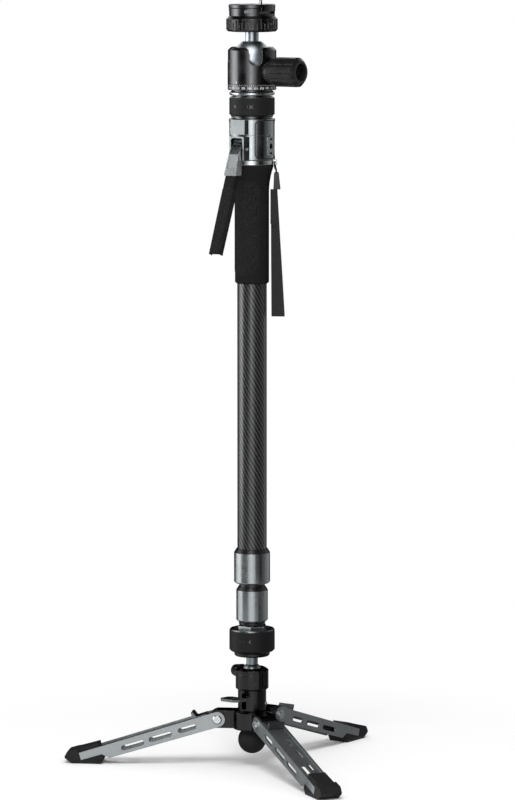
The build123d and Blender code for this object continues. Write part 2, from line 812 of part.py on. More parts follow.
# Base ball joint
with BuildPart() as base_head:
    turn(
        (0, base_head_bottom), (base_head_radius - base_head_edge, base_head_bottom),
        (base_head_radius, base_head_bottom + base_head_edge),
        (base_head_radius, base_head_top - base_head_crown - base_head_edge),
        (base_head_radius - base_head_edge, base_head_top - base_head_crown),
        (seat_radius + base_head_crown, base_head_top), (0, base_head_top),
    )
    ring(column_bore - running_gap, 0, base_head_bottom - base_head_spigot, base_head_bottom + overrun)
    # The clamp's boss, its recess and its screw
    with BuildSketch(Plane.XY.offset(base_head_bottom + head_boss_foot)):
        turned = radians(boss_azimuth)
        with BuildLine():
            Polyline(
                *[
                    (out * cos(turned) - across * sin(turned), out * sin(turned) + across * cos(turned))
                    for out, across in (
                        (head_boss_root, -head_boss_root_half_width), (head_boss_reach, -head_boss_half_width),
                        (head_boss_reach, head_boss_half_width), (head_boss_root, head_boss_root_half_width),
                        (0, head_boss_root_half_width), (0, -head_boss_root_half_width),
                    )
                ],
                close=True,
            )
        make_face()
    extrude(amount=base_head_height - head_boss_foot - base_head_crown)
    with BuildSketch(facing_plane(boss_azimuth, head_boss_reach - head_boss_pocket_depth,
                                  base_head_top - head_boss_pocket_drop)):
        Rectangle(head_boss_pocket_width, head_boss_pocket_height)
    extrude(amount=head_boss_pocket_depth + overrun, mode=Mode.SUBTRACT)
    with BuildSketch(facing_plane(boss_azimuth, head_boss_reach - head_boss_screw_depth,
                                  base_head_top - head_boss_screw_drop)):
        Circle(head_boss_screw_radius)
    extrude(amount=head_boss_screw_depth + overrun, mode=Mode.SUBTRACT)
    # The slits of its clamp: one level, one upright
    slit_top = base_head_top - head_slit_drop
    ring(base_head_radius + overrun, base_head_radius - head_slit_depth, slit_top - head_slit_width, slit_top,
         mode=Mode.SUBTRACT)
    with BuildSketch(facing_plane(head_slit_azimuth, base_head_radius - head_slit_depth,
                                  (base_head_bottom + base_head_top) / 2)):
        Rectangle(head_slit_width, base_head_height + 2 * overrun)
    extrude(amount=head_slit_depth + overrun, mode=Mode.SUBTRACT)
    # The seat's cavity, the plunger's bore and the clamp screw's bore
    with Locations((0, 0, base_ball_height)):
        Sphere(seat_cavity, mode=Mode.SUBTRACT)
    ring(plunger_radius + running_gap, 0, base_head_bottom - base_head_spigot - overrun, base_ball_height,
         mode=Mode.SUBTRACT)
    turn_level(
        clamp_azimuth, clamp_height,
        (seat_bore, 0), (seat_bore, clamp_screw_radius + running_gap),
        (base_head_radius + overrun, clamp_screw_radius + running_gap), (base_head_radius + overrun, 0),
        mode=Mode.SUBTRACT,
    )

seat_mouth = base_head_top - seat_mouth_drop
with BuildPart() as ball_seat:
    with Locations((0, 0, base_ball_height)):
        Sphere(seat_radius)
        Sphere(seat_bore, mode=Mode.SUBTRACT)
    ring(seat_radius + overrun, 0, seat_mouth, base_ball_height + seat_radius + overrun, mode=Mode.SUBTRACT)

with BuildPart() as base_ball_stem:
    with Locations((0, 0, base_ball_height)):
        Sphere(base_ball_radius)
    ring(base_stem_radius, 0, base_ball_height, pan_flange_bottom)
    ring(base_stud_radius, 0, base_ball_height, pan_flange_bottom + base_stud_length)

clamp_screw_tip = seat_radius + part_gap
with BuildPart() as clamp_knob:
    turn_level(
        clamp_azimuth, clamp_height,
        (clamp_screw_tip, 0), (clamp_screw_tip, clamp_screw_radius), (clamp_knob_start, clamp_screw_radius),
        (clamp_knob_start, clamp_knob_inner_radius - clamp_knob_edge),
        (clamp_knob_start + clamp_knob_edge, clamp_knob_inner_radius),
        (clamp_knob_end - clamp_knob_edge, clamp_knob_outer_radius),
        (clamp_knob_end, clamp_knob_outer_radius - clamp_knob_edge), (clamp_knob_end, 0),
    )
    with BuildSketch(facing_plane(clamp_azimuth, clamp_knob_start, clamp_height)):
        with PolarLocations(clamp_knob_inner_radius + clamp_knob_flute_offset, clamp_knob_flutes):
            Circle(clamp_knob_flute_radius)
    extrude(amount=clamp_knob_end - clamp_knob_start, mode=Mode.SUBTRACT)

# Pan flange, lock ring and the column's foot
with BuildPart() as pan_flange:
    edged_ring(pan_flange_radius, 0, pan_flange_bottom, pan_flange_top, pan_flange_edge)
    ring(pan_spigot_radius, 0, pan_flange_top - overrun, pan_spigot_top)
    ring(base_stud_radius + running_gap, 0, pan_flange_bottom - overrun,
         pan_flange_bottom + base_stud_length + part_gap, mode=Mode.SUBTRACT)

with BuildPart() as foot_ring:
    inside = column_foot_radius + running_gap
    turn(
        (inside, column_foot_bottom), (foot_ring_radius - foot_ring_edge, column_foot_bottom),
        (foot_ring_radius, column_foot_bottom + foot_ring_edge), (foot_ring_radius, foot_ring_top - foot_ring_edge),
        (foot_ring_radius - foot_ring_edge / 2, foot_ring_top), (foot_ring_radius - foot_ring_lip, foot_ring_top),
        (inside, foot_ring_top - foot_ring_dish),
    )

with BuildPart() as column_foot:
    bore = pan_spigot_radius + running_gap
    turn(
        (bore, column_foot_bottom), (column_foot_radius, column_foot_bottom), (column_foot_radius, hex_bottom),
        (0, hex_bottom), (0, pan_spigot_top + part_gap), (bore, pan_spigot_top + part_gap),
    )
    with BuildSketch(Plane.XY.offset(hex_bottom)):
        RegularPolygon(hex_width / 2, 6, major_radius=False)
    extrude(amount=hex_height)
    ring(lower_tube_bore - running_gap, 0, lower_tube_bottom, lower_tube_bottom + foot_plug_height)

# The three column tubes with their plugs, collars and caps
with BuildPart() as lower_tube:
    ring(lower_tube_radius, lower_tube_bore, lower_tube_bottom, lower_tube_top)

with BuildPart() as lower_plug:
    turn(
        (rod_hole, lower_tube_top - plug_spigot), (lower_tube_bore - running_gap, lower_tube_top - plug_spigot),
        (lower_tube_bore - running_gap, lower_tube_top), (middle_tube_bore - running_gap, lower_tube_top),
        (middle_tube_bore - running_gap, lower_tube_top + plug_height), (rod_hole, lower_tube_top + plug_height),
    )

with BuildPart() as lower_collar:
    turn(
        (lower_tube_radius + running_gap, lower_collar_bottom),
        (lower_collar_radius - collar_edge, lower_collar_bottom),
        (lower_collar_radius, lower_collar_bottom + collar_edge), (lower_collar_radius, lower_collar_top),
        (middle_tube_radius + running_gap, lower_collar_top), (middle_tube_radius + running_gap, middle_tube_bottom),
        (lower_tube_radius + running_gap, middle_tube_bottom),
    )

with BuildPart() as lower_collar_caps:
    edged_ring(seal_radius, lower_tube_radius + running_gap, seal_bottom, lower_collar_bottom, seal_edge)
    turn(
        (middle_tube_radius + running_gap, lower_collar_top), (lower_collar_radius, lower_collar_top),
        (lower_cap_radius, lower_cap_top), (middle_tube_radius + running_gap, lower_cap_top),
    )

with BuildPart() as middle_tube:
    ring(middle_tube_radius, middle_tube_bore, middle_tube_bottom, middle_tube_top)

with BuildPart() as middle_plug:
    turn(
        (rod_hole, middle_tube_top - plug_spigot), (middle_tube_bore - running_gap, middle_tube_top - plug_spigot),
        (middle_tube_bore - running_gap, middle_tube_top), (upper_tube_bore - running_gap, middle_tube_top),
        (upper_tube_bore - running_gap, middle_tube_top + plug_height), (rod_hole, middle_tube_top + plug_height),
    )

with BuildPart() as upper_collar:
    turn(
        (middle_tube_radius + running_gap, upper_collar_bottom),
        (upper_collar_radius - collar_edge, upper_collar_bottom),
        (upper_collar_radius, upper_collar_bottom + collar_edge), (upper_collar_radius, upper_collar_top),
        (upper_tube_radius + running_gap, upper_collar_top), (upper_tube_radius + running_gap, upper_tube_bottom),
        (middle_tube_radius + running_gap, upper_tube_bottom),
    )

with BuildPart() as upper_collar_cap:
    turn(
        (upper_tube_radius + running_gap, upper_collar_top), (upper_collar_radius, upper_collar_top),
        (upper_cap_radius, upper_cap_top), (upper_tube_radius + running_gap, upper_cap_top),
    )

with BuildPart() as upper_tube:
    ring(upper_tube_radius, upper_tube_bore, upper_tube_bottom, housing_bottom)

with BuildPart() as grip_sleeve:
    inside = upper_tube_radius + running_gap
    flare_start = grip_top - grip_flare_height
    with BuildSketch(Plane.XZ):
        with BuildLine():
            Polyline(
                (grip_flare_radius, grip_top - grip_lip), (grip_flare_radius, grip_top), (inside, grip_top),
                (inside, grip_bottom), (grip_radius - grip_edge, grip_bottom),
                (grip_radius, grip_bottom + grip_edge), (grip_radius, flare_start),
            )
            TangentArc((grip_radius, flare_start), (grip_flare_radius, grip_top - grip_lip), tangent=(0, 1))
        make_face()
    revolve(axis=Axis.Z)

# Strap ring and wrist strap: the cord hangs through the lug's eye, the strap below it
with BuildPart() as strap_ring:
    edged_ring(strap_ring_radius, upper_tube_radius + running_gap, strap_ring_bottom, strap_ring_top, edge_break)
    with BuildSketch(radial_plane(strap_azimuth, strap_eye_height)):
        with Locations(((strap_lug_radius + upper_tube_radius + overrun) / 2, 0)):
            Rectangle(strap_lug_radius - upper_tube_radius - overrun, strap_ring_height)
        with Locations((strap_eye_distance, 0)):
            Circle(strap_eye_radius, mode=Mode.SUBTRACT)
    extrude(amount=strap_lug_width / 2, both=True)
    with BuildSketch(radial_plane(strap_azimuth, strap_eye_height)):
        with Locations((strap_eye_distance, 0)):
            Circle(strap_eye_radius)
    extrude(amount=strap_lug_width, both=True, mode=Mode.SUBTRACT)

strap_out = Vector(cos(radians(strap_azimuth)), sin(radians(strap_azimuth)), 0)
strap_across = Vector(-strap_out.Y, strap_out.X, 0)
buckle_top = strap_eye_height - buckle_rise
buckle_bottom = buckle_top - buckle_height
webbing_bottom = buckle_bottom - webbing_length


def on_strap(out, across, height):
    """Gives the point at a distance out and across the strap's plane, and a height."""
    return strap_out * out + strap_across * across + Vector(0, 0, height)


buckle_middle = (buckle_top_inner + buckle_top_outer) / 2
eye_end = strap_lug_width / 2 + cord_eye_run
cord_knots = {
    way: (
        on_strap(strap_eye_distance, way * eye_end, strap_eye_height),
        on_strap(strap_eye_distance, way * (eye_end + cord_turn), strap_eye_height - cord_turn),
        on_strap(strap_eye_distance, way * cord_half_spread, strap_eye_height - cord_drop),
        on_strap(buckle_middle, way * cord_tail_spread, buckle_top + cord_tail),
        on_strap(buckle_middle, way * cord_tail_spread, buckle_top - cord_tail),
    )
    for way in (1, -1)
}
with BuildPart() as strap_cord:
    with BuildLine() as cord_line:
        for way, (eye, bend, side, above, tail) in cord_knots.items():
            Spline(eye, bend, side, above, tangents=(strap_across * way, Vector(0, 0, -1)))
            Line(above, tail)
        Line(cord_knots[1][0], cord_knots[-1][0])
    with BuildSketch(Plane(origin=cord_knots[1][-1])):
        Circle(cord_radius)
    sweep(path=cord_line.wires()[0])

with BuildPart() as strap_buckle:
    with BuildSketch(radial_plane(strap_azimuth)):
        with BuildLine():
            Polyline(
                (buckle_top_inner, buckle_top), (buckle_top_outer, buckle_top),
                (buckle_foot_outer, buckle_bottom), (buckle_foot_inner, buckle_bottom), close=True,
            )
        make_face()
    extrude(amount=buckle_half_width, both=True)
    chamfer(strap_buckle.edges().group_by(Axis.Z)[-1], length=buckle_edge)
    for way in (1, -1):
        with BuildSketch(Plane(origin=on_strap(buckle_middle, way * cord_tail_spread, buckle_top - cord_tail))):
            Circle(cord_radius + running_gap)
        extrude(amount=cord_tail + overrun, mode=Mode.SUBTRACT)

with BuildPart() as strap_webbing:
    with BuildSketch(radial_plane(strap_azimuth)):
        with BuildLine():
            Polyline(
                (webbing_top_inner, buckle_bottom), (webbing_top_outer, buckle_bottom),
                (webbing_foot_outer, webbing_bottom), (webbing_foot_inner, webbing_bottom), close=True,
            )
        make_face()
    extrude(amount=webbing_layer + webbing_space / 2, both=True)
    fillet(strap_webbing.edges().group_by(Axis.Z)[0].filter_by(GeomType.LINE).sort_by(Axis.Z)[:2],
           radius=webbing_corner)
    with BuildSketch(radial_plane(strap_azimuth)):
        with BuildLine():
            Polyline(
                (webbing_top_inner - overrun, buckle_bottom + overrun),
                (webbing_foot_outer + overrun, buckle_bottom + overrun),
                (webbing_foot_outer + overrun, webbing_bottom + webbing_fold),
                (webbing_top_inner - overrun, webbing_bottom + webbing_fold), close=True,
            )
        make_face()
    extrude(amount=webbing_space / 2, both=True, mode=Mode.SUBTRACT)

# Release housing, in two halves, with the window that the lever works through
with BuildPart() as side_panels:
    with BuildSketch(Plane.YZ):
        with Locations((0, housing_bottom + housing_height / 2)):
            RectangleRounded(panel_width, panel_height, panel_corner)
    extrude(amount=housing_radius + overrun, both=True)
    ring(housing_radius - panel_depth, 0, housing_bottom - overrun, housing_top + overrun, mode=Mode.SUBTRACT)

with BuildPart() as housing_lower:
    spigot = upper_tube_bore - running_gap
    turn(
        (rod_hole, housing_bottom - housing_spigot), (spigot, housing_bottom - housing_spigot),
        (spigot, housing_bottom), (housing_radius - edge_break, housing_bottom),
        (housing_radius, housing_bottom + edge_break), (housing_radius, housing_seam - housing_groove),
        (housing_radius - housing_groove, housing_seam), (housing_bore, housing_seam),
        (housing_bore, housing_bottom), (rod_hole, housing_bottom),
    )
    add(side_panels.part, mode=Mode.SUBTRACT)
    with BuildSketch(Plane.XY.offset(housing_bottom)):
        with BuildLine():
            Polyline(
                (-boss_root_half_width, -boss_root), (-boss_half_width, -boss_reach),
                (boss_half_width, -boss_reach), (boss_root_half_width, -boss_root), close=True,
            )
        make_face()
    extrude(amount=housing_split - boss_gap)
    with BuildSketch(Plane.XZ.offset(window_depth)):
        with Locations((0, housing_bottom + window_lift + window_height / 2)):
            RectangleRounded(2 * window_half_width, window_height, window_corner)
    extrude(amount=boss_reach, mode=Mode.SUBTRACT)
    with BuildSketch(Plane.XZ.offset(window_chute)):
        with Locations((0, housing_bottom + (window_lift + window_corner - overrun) / 2)):
            Rectangle(2 * window_half_width, window_lift + window_corner + overrun)
    extrude(amount=boss_reach, mode=Mode.SUBTRACT)
    with BuildSketch(Plane.XZ):
        with Locations((0, lever_pivot_height + nose_opening_lift)):
            Rectangle(lever_nose_width + 2 * part_gap, nose_opening)
    extrude(amount=window_depth + overrun, mode=Mode.SUBTRACT)
    with BuildSketch(Plane.YZ):
        with Locations((-lever_pivot_reach, lever_pivot_height)):
            Circle(lever_pin_radius + running_gap)
    extrude(amount=boss_root_half_width + overrun, both=True, mode=Mode.SUBTRACT)
    # The accessory plate's seat
    with BuildSketch(Plane.YZ.offset(accessory_seat)):
        with Locations((0, accessory_height)):
            SlotOverall(accessory_length + 2 * running_gap, accessory_width + 2 * running_gap, rotation=90)
    extrude(amount=housing_radius, mode=Mode.SUBTRACT)
    with BuildSketch(Plane.YZ.offset(accessory_seat - accessory_stub_depth - part_gap)):
        with Locations((0, accessory_height)):
            Circle(accessory_stub_radius + running_gap)
    extrude(amount=accessory_stub_depth + housing_radius, mode=Mode.SUBTRACT)

with BuildPart() as housing_upper:
    turn(
        (0, housing_seam + slider_space), (housing_bore + part_gap, housing_seam + slider_space),
        (housing_bore + part_gap, housing_seam), (housing_radius - housing_groove, housing_seam),
        (housing_radius, housing_seam + housing_groove), (housing_radius, housing_top - edge_break),
        (housing_radius - edge_break, housing_top), (socket_spigot_radius + running_gap, housing_top),
        (socket_spigot_radius + running_gap, housing_top - socket_spigot_height),
        (0, housing_top - socket_spigot_height),
    )
    add(side_panels.part, mode=Mode.SUBTRACT)
    with BuildSketch(Plane.XY.offset(housing_seam + badge_lift)):
        with BuildLine():
            Polyline(
                (-badge_root_half_width, -badge_root), (-badge_half_width, -badge_reach),
                (badge_half_width, -badge_reach), (badge_root_half_width, -badge_root), close=True,
            )
        make_face()
    extrude(amount=housing_height - housing_split - badge_lift - badge_top_drop)

with BuildPart() as accessory_plate:
    with BuildSketch(Plane.YZ.offset(accessory_seat)):
        with Locations((0, accessory_height)):
            SlotOverall(accessory_length, accessory_width, rotation=90)
    extrude(amount=accessory_reach - accessory_seat)
    chamfer(accessory_plate.edges().group_by(Axis.X)[-1], length=edge_break)
    with BuildSketch(Plane.YZ.offset(accessory_seat - accessory_stub_depth)):
        with Locations((0, accessory_height)):
            Circle(accessory_stub_radius)
    extrude(amount=accessory_stub_depth)
    with BuildSketch(Plane.YZ.offset(accessory_reach)):
        with Locations((0, accessory_height)):
            Circle(accessory_thread_radius)
    extrude(amount=-accessory_thread_depth, mode=Mode.SUBTRACT)
    with BuildSketch(Plane.YZ.offset(accessory_reach)):
        with Locations((0, accessory_height + accessory_slot_offset), (0, accessory_height - accessory_slot_offset)):
            SlotOverall(accessory_slot_length, accessory_slot_width)
    extrude(amount=-accessory_slot_depth, mode=Mode.SUBTRACT)

# Release lever, and the slider and rod that it lifts
with BuildPart() as lever_pin:
    with BuildSketch(Plane.YZ):
        with Locations((-lever_pivot_reach, lever_pivot_height)):
            Circle(lever_pin_radius)
    extrude(amount=boss_half_width + lever_pin_overhang, both=True)

foot_height = lever_pivot_height - lever_foot_drop
arm_bottom = lever_pivot_height - lever_arm_drop
core_share = lever_core_length / (lever_arm_drop - lever_foot_drop)
core_inner = lever_foot_inner + (lever_arm_inner - lever_foot_inner) * core_share + lever_core_margin
core_outer = lever_foot_outer + (lever_arm_outer - lever_foot_outer) * core_share - lever_core_margin
with BuildPart() as lever_core:
    with BuildSketch(Plane.YZ):
        with BuildLine():
            Polyline(
                (-lever_foot_inner - lever_core_margin, foot_height),
                (-lever_foot_outer + lever_core_margin, foot_height),
                (-core_outer, foot_height - lever_core_length), (-core_inner, foot_height - lever_core_length),
                close=True,
            )
        make_face()
    extrude(amount=lever_core_half_width, both=True)

with BuildPart() as lever_bracket:
    with BuildSketch(Plane.YZ):
        with BuildLine():
            Polyline(
                (-lever_pivot_reach, lever_pivot_height + lever_eye_radius),
                (-lever_pivot_reach - lever_eye_radius, lever_pivot_height + lever_eye_radius / 2),
                (-lever_shoulder_outer, lever_pivot_height - lever_shoulder_drop),
                (-lever_foot_outer, foot_height), (-lever_foot_inner, foot_height),
                (-lever_shoulder_inner, lever_pivot_height - lever_shoulder_drop),
                (-lever_pivot_reach + lever_eye_radius, lever_pivot_height), close=True,
            )
        make_face()
        with Locations((-lever_pivot_reach, lever_pivot_height)):
            Circle(lever_eye_radius)
    extrude(amount=lever_foot_half_width, both=True)
    # Its sides narrow towards the pin
    for way in (1, -1):
        with BuildSketch(Plane.XZ):
            with BuildLine():
                Polyline(
                    (way * lever_foot_half_width, foot_height),
                    (way * lever_top_half_width, lever_pivot_height - lever_shoulder_drop),
                    (way * lever_top_half_width, lever_pivot_height + lever_eye_radius + overrun),
                    (way * (lever_foot_half_width + overrun), lever_pivot_height + lever_eye_radius + overrun),
                    (way * (lever_foot_half_width + overrun), foot_height), close=True,
                )
            make_face()
        extrude(amount=lever_foot_outer + overrun, mode=Mode.SUBTRACT)
    with BuildSketch(Plane.YZ):
        with BuildLine():
            Polyline(
                (-lever_pivot_reach, lever_pivot_height + lever_nose_height / 2),
                (-lever_pivot_reach, lever_pivot_height - lever_nose_height / 2),
                (-lever_nose_reach, lever_pivot_height - lever_nose_height / 2),
                (-lever_nose_reach, lever_pivot_height + lever_nose_height / 2), close=True,
            )
        make_face()
    extrude(amount=lever_nose_width / 2, both=True)
    # The panel set into its face, and the line above its lip
    face_fall = lever_foot_drop - lever_shoulder_drop
    face_run = lever_foot_outer - lever_shoulder_outer
    bracket_face = Plane(
        origin=(0, -lever_shoulder_outer, lever_pivot_height - lever_shoulder_drop), x_dir=(1, 0, 0),
        z_dir=(0, -face_fall, face_run),
    ).offset(-lever_panel_depth)
    with BuildSketch(bracket_face):
        with BuildLine():
            Polyline(
                (-lever_panel_top_half_width, -lever_panel_top), (lever_panel_top_half_width, -lever_panel_top),
                (lever_panel_foot_half_width, -lever_panel_foot), (-lever_panel_foot_half_width, -lever_panel_foot),
                close=True,
            )
        make_face()
        with Locations((0, -lever_lip_line)):
            Rectangle(2 * (lever_foot_half_width + overrun), lever_lip_line_width)
    extrude(amount=lever_panel_depth + overrun, mode=Mode.SUBTRACT)
    add(lever_core.part)
    with BuildSketch(Plane.YZ):
        with Locations((-lever_pivot_reach, lever_pivot_height)):
            Circle(lever_pin_radius + running_gap)
    extrude(amount=boss_reach, both=True, mode=Mode.SUBTRACT)

with BuildPart() as lever_grip:
    with BuildSketch(Plane.YZ):
        with BuildLine():
            Polyline(
                (-lever_foot_inner, foot_height), (-lever_foot_outer, foot_height),
                (-lever_arm_outer, arm_bottom), (-lever_arm_inner, arm_bottom), close=True,
            )
        make_face()
    extrude(amount=lever_arm_half_width, both=True)
    chamfer(lever_grip.edges().filter_by(Plane.YZ).filter_by(
        lambda edge: edge.length > lever_core_length), length=lever_arm_edge)
    add(lever_core.part, mode=Mode.SUBTRACT)

with BuildPart() as release_rod:
    edged_ring(slider_radius, 0, slider_bottom, slider_bottom + slider_height, edge_break)
    with BuildSketch(Plane.XZ.offset(slider_slot_depth)):
        with Locations((0, lever_pivot_height)):
            Rectangle(lever_nose_width + 2 * part_gap, lever_nose_height + 2 * slider_play)
    extrude(amount=slider_radius, mode=Mode.SUBTRACT)
    with BuildSketch(Plane.XY.offset(slider_bottom)):
        RegularPolygon(rod_half_width, 6, major_radius=False)
    extrude(amount=-(slider_bottom - upper_tube_bottom - rod_lift))

# Head locking ring, socket and degree scale
with BuildPart() as head_socket:
    turn(
        (0, housing_top - socket_spigot_height + part_gap),
        (socket_spigot_radius, housing_top - socket_spigot_height + part_gap), (socket_spigot_radius, housing_top),
        (socket_radius, housing_top), (socket_radius, socket_flange_bottom),
        (socket_flange_radius, socket_flange_bottom), (socket_flange_radius, socket_flange_top),
        (socket_radius, socket_flange_top), (socket_radius, disc_bottom), (0, disc_bottom),
    )

with BuildPart() as head_lock_ring:
    edged_ring(lock_ring_radius, socket_radius + running_gap, lock_ring_bottom, lock_ring_top, lock_ring_edge)

with BuildPart() as head_disc:
    edged_ring(disc_radius, 0, disc_bottom, disc_top, disc_edge)

with BuildPart() as scale_ring:
    turn(
        (0, disc_top), (scale_hub_radius, disc_top), (scale_hub_radius, scale_bottom),
        (scale_radius - edge_break, scale_bottom), (scale_radius, scale_bottom + edge_break),
        (scale_radius, scale_top), (pan_boss_radius, scale_top), (pan_boss_radius, pan_boss_top), (0, pan_boss_top),
    )

# Ball head
with BuildPart() as head_housing:
    turn(
        (0, head_bottom), (head_radius, head_bottom), (head_radius, head_top - head_shoulder),
        (head_radius - head_shoulder, head_top), (0, head_top),
    )
    turn_level(
        0, knob_height,
        (ball_radius, 0), (ball_radius, knob_boss_radius), (knob_boss_reach - edge_break, knob_boss_radius),
        (knob_boss_reach, knob_boss_radius - edge_break), (knob_boss_reach, 0),
    )
    with Locations((0, 0, ball_height)):
        Sphere(ball_socket, mode=Mode.SUBTRACT)
    ring(head_throat, 0, head_bottom + head_floor, ball_height, mode=Mode.SUBTRACT)
    ring(pan_boss_radius + running_gap, 0, head_bottom - overrun, pan_boss_top + part_gap, mode=Mode.SUBTRACT)
    turn_level(
        0, knob_height,
        (0, 0), (0, shoe_radius + running_gap), (shoe_outer + part_gap, shoe_radius + running_gap),
        (shoe_outer + part_gap, spindle_radius + running_gap),
        (knob_boss_reach + overrun, spindle_radius + running_gap), (knob_boss_reach + overrun, 0),
        mode=Mode.SUBTRACT,
    )
    # The two notches that let the stem lie down
    notch_centre = head_top - notch_depth + notch_half_width
    for azimuth in notch_azimuths:
        with BuildSketch(facing_plane(azimuth, 0, 0)):
            with BuildLine():
                Polyline(
                    (-notch_half_width, notch_centre), (-notch_half_width, head_top - notch_flare),
                    (-notch_half_width - notch_flare, head_top), (-notch_half_width - notch_flare, head_top + overrun),
                    (notch_half_width + notch_flare, head_top + overrun), (notch_half_width + notch_flare, head_top),
                    (notch_half_width, head_top - notch_flare), (notch_half_width, notch_centre), close=True,
                )
            make_face()
            with Locations((0, notch_centre)):
                Circle(notch_half_width)
        extrude(amount=head_radius + overrun, mode=Mode.SUBTRACT)

with BuildPart() as brake_shoe:
    turn_level(
        0, knob_height,
        (shoe_inner, 0), (shoe_inner, shoe_radius), (shoe_outer, shoe_radius), (shoe_outer, 0),
    )
    with Locations((0, 0, ball_height)):
        Sphere(ball_socket, mode=Mode.SUBTRACT)

with BuildPart() as lock_knob:
    turn_level(
        0, knob_height,
        (shoe_outer + 2 * part_gap, 0), (shoe_outer + 2 * part_gap, spindle_radius),
        (knob_neck_start, spindle_radius), (knob_neck_start, knob_neck_radius),
        (knob_body_start, knob_neck_radius), (knob_body_start, knob_radius - knob_edge),
        (knob_body_start + knob_edge, knob_radius), (knob_end - knob_bevel, knob_radius),
        (knob_end, knob_cup_radius + knob_rim), (knob_end, knob_cup_radius),
        (knob_end - knob_cup_depth, knob_cup_radius - knob_cup_taper), (knob_end - knob_cup_depth, 0),
    )
    with BuildSketch(facing_plane(0, knob_body_start - overrun, knob_height)):
        with PolarLocations(knob_radius + knob_flute_offset, knob_flutes):
            Circle(knob_flute_radius)
    extrude(amount=knob_end, mode=Mode.SUBTRACT)

with BuildPart() as ball_stem:
    with Locations((0, 0, ball_height)):
        Sphere(ball_radius)
    ring(ball_radius, 0, ball_flat_height, ball_height + ball_radius + overrun, mode=Mode.SUBTRACT)
    ring(ball_stem_radius, 0, ball_height, clamp_bottom - running_gap)
    ring(ball_stud_radius, 0, ball_height, clamp_bottom + ball_stud_length)

# Camera clamp and plate
jaws = {}
for way in (1, -1):
    foot = way * (dovetail_foot_half_width + running_gap)
    neck = way * (dovetail_neck_half_width + running_gap)
    far = -way * (plate_radius + overrun)
    with BuildPart() as jaw:
        with BuildSketch(Plane.XY.offset(clamp_deck_top)):
            Circle(clamp_deck_radius)
        extrude(amount=jaw_top - clamp_deck_top)
        chamfer(jaw.edges().group_by(Axis.Z)[-1], length=edge_break)
        with BuildSketch(Plane.YZ):
            with BuildLine():
                Polyline(
                    (foot, clamp_deck_top), (foot, dovetail_bottom + dovetail_foot_height), (neck, plate_rim_bottom),
                    (neck, jaw_top + overrun), (far, jaw_top + overrun), (far, clamp_deck_top), close=True,
                )
            make_face()
        extrude(amount=plate_radius, both=True, mode=Mode.SUBTRACT)
    jaws[way] = jaw

with BuildPart() as clamp_base:
    turn(
        (0, clamp_bottom), (clamp_lip_radius - edge_break, clamp_bottom), (clamp_lip_radius, clamp_bottom + edge_break),
        (clamp_lip_radius, clamp_bottom + clamp_lip_height), (clamp_hub_radius, clamp_bottom + clamp_lip_height),
        (clamp_hub_radius, clamp_deck_bottom), (clamp_deck_radius, clamp_deck_bottom),
        (clamp_deck_radius, clamp_deck_top), (0, clamp_deck_top),
    )
    add(jaws[-1].part)
    ring(ball_stud_radius + running_gap, 0, clamp_bottom - overrun, clamp_bottom + ball_stud_length + part_gap,
         mode=Mode.SUBTRACT)
    # The moving jaw's groove and the latch's pocket
    with BuildSketch(Plane.XY.offset(clamp_deck_top)):
        with Locations((0, jaw_tenon_inner + (jaw_tenon_length + jaw_travel) / 2)):
            Rectangle(jaw_tenon_width + 2 * running_gap, jaw_tenon_length + jaw_travel + 2 * running_gap)
    extrude(amount=-jaw_tenon_height - part_gap, mode=Mode.SUBTRACT)
    with BuildSketch(facing_plane(latch_azimuth, latch_inner - latch_travel - running_gap,
                                  clamp_deck_top + latch_lift + latch_height / 2)):
        Rectangle(latch_width + 2 * running_gap, latch_height + 2 * running_gap)
    extrude(amount=latch_outer, mode=Mode.SUBTRACT)

with BuildPart() as clamp_jaw:
    add(jaws[1].part)
    ring(clamp_deck_radius + overrun, 0, clamp_deck_top, dovetail_bottom, mode=Mode.SUBTRACT)
    with BuildSketch(Plane.XY.offset(dovetail_bottom)):
        with Locations((0, jaw_tenon_inner + jaw_tenon_length / 2)):
            Rectangle(jaw_tenon_width, jaw_tenon_length)
    extrude(amount=-jaw_tenon_height)

with BuildPart() as clamp_latch:
    with BuildSketch(facing_plane(latch_azimuth, latch_inner, clamp_deck_top + latch_lift + latch_height / 2)):
        Rectangle(latch_width, latch_height)
    extrude(amount=latch_outer - latch_inner)

with BuildPart() as clamp_ring:
    inside = clamp_hub_radius + running_gap
    lip_room = clamp_lip_radius + part_gap
    turn(
        (lip_room, clamp_ring_bottom), (clamp_ring_low_radius, clamp_ring_bottom),
        (clamp_ring_radius, clamp_ring_bottom + clamp_ring_low_bevel),
        (clamp_ring_radius, clamp_ring_top - clamp_ring_top_bevel), (clamp_ring_top_radius, clamp_ring_top),
        (inside, clamp_ring_top), (inside, clamp_bottom + clamp_lip_height + part_gap),
        (lip_room, clamp_bottom + clamp_lip_height + part_gap),
    )
    flute_height = clamp_ring_height - clamp_ring_top_bevel - clamp_flute_bar
    for low, turned in ((clamp_ring_bottom + clamp_flute_bar, 0), (clamp_ring_bottom - overrun, 180 / clamp_ring_flutes)):
        with BuildSketch(Plane.XY.offset(low)):
            with PolarLocations(clamp_ring_radius, clamp_ring_flutes, start_angle=turned):
                Rectangle(2 * clamp_flute_depth, clamp_flute_width)
        extrude(amount=flute_height, mode=Mode.SUBTRACT)

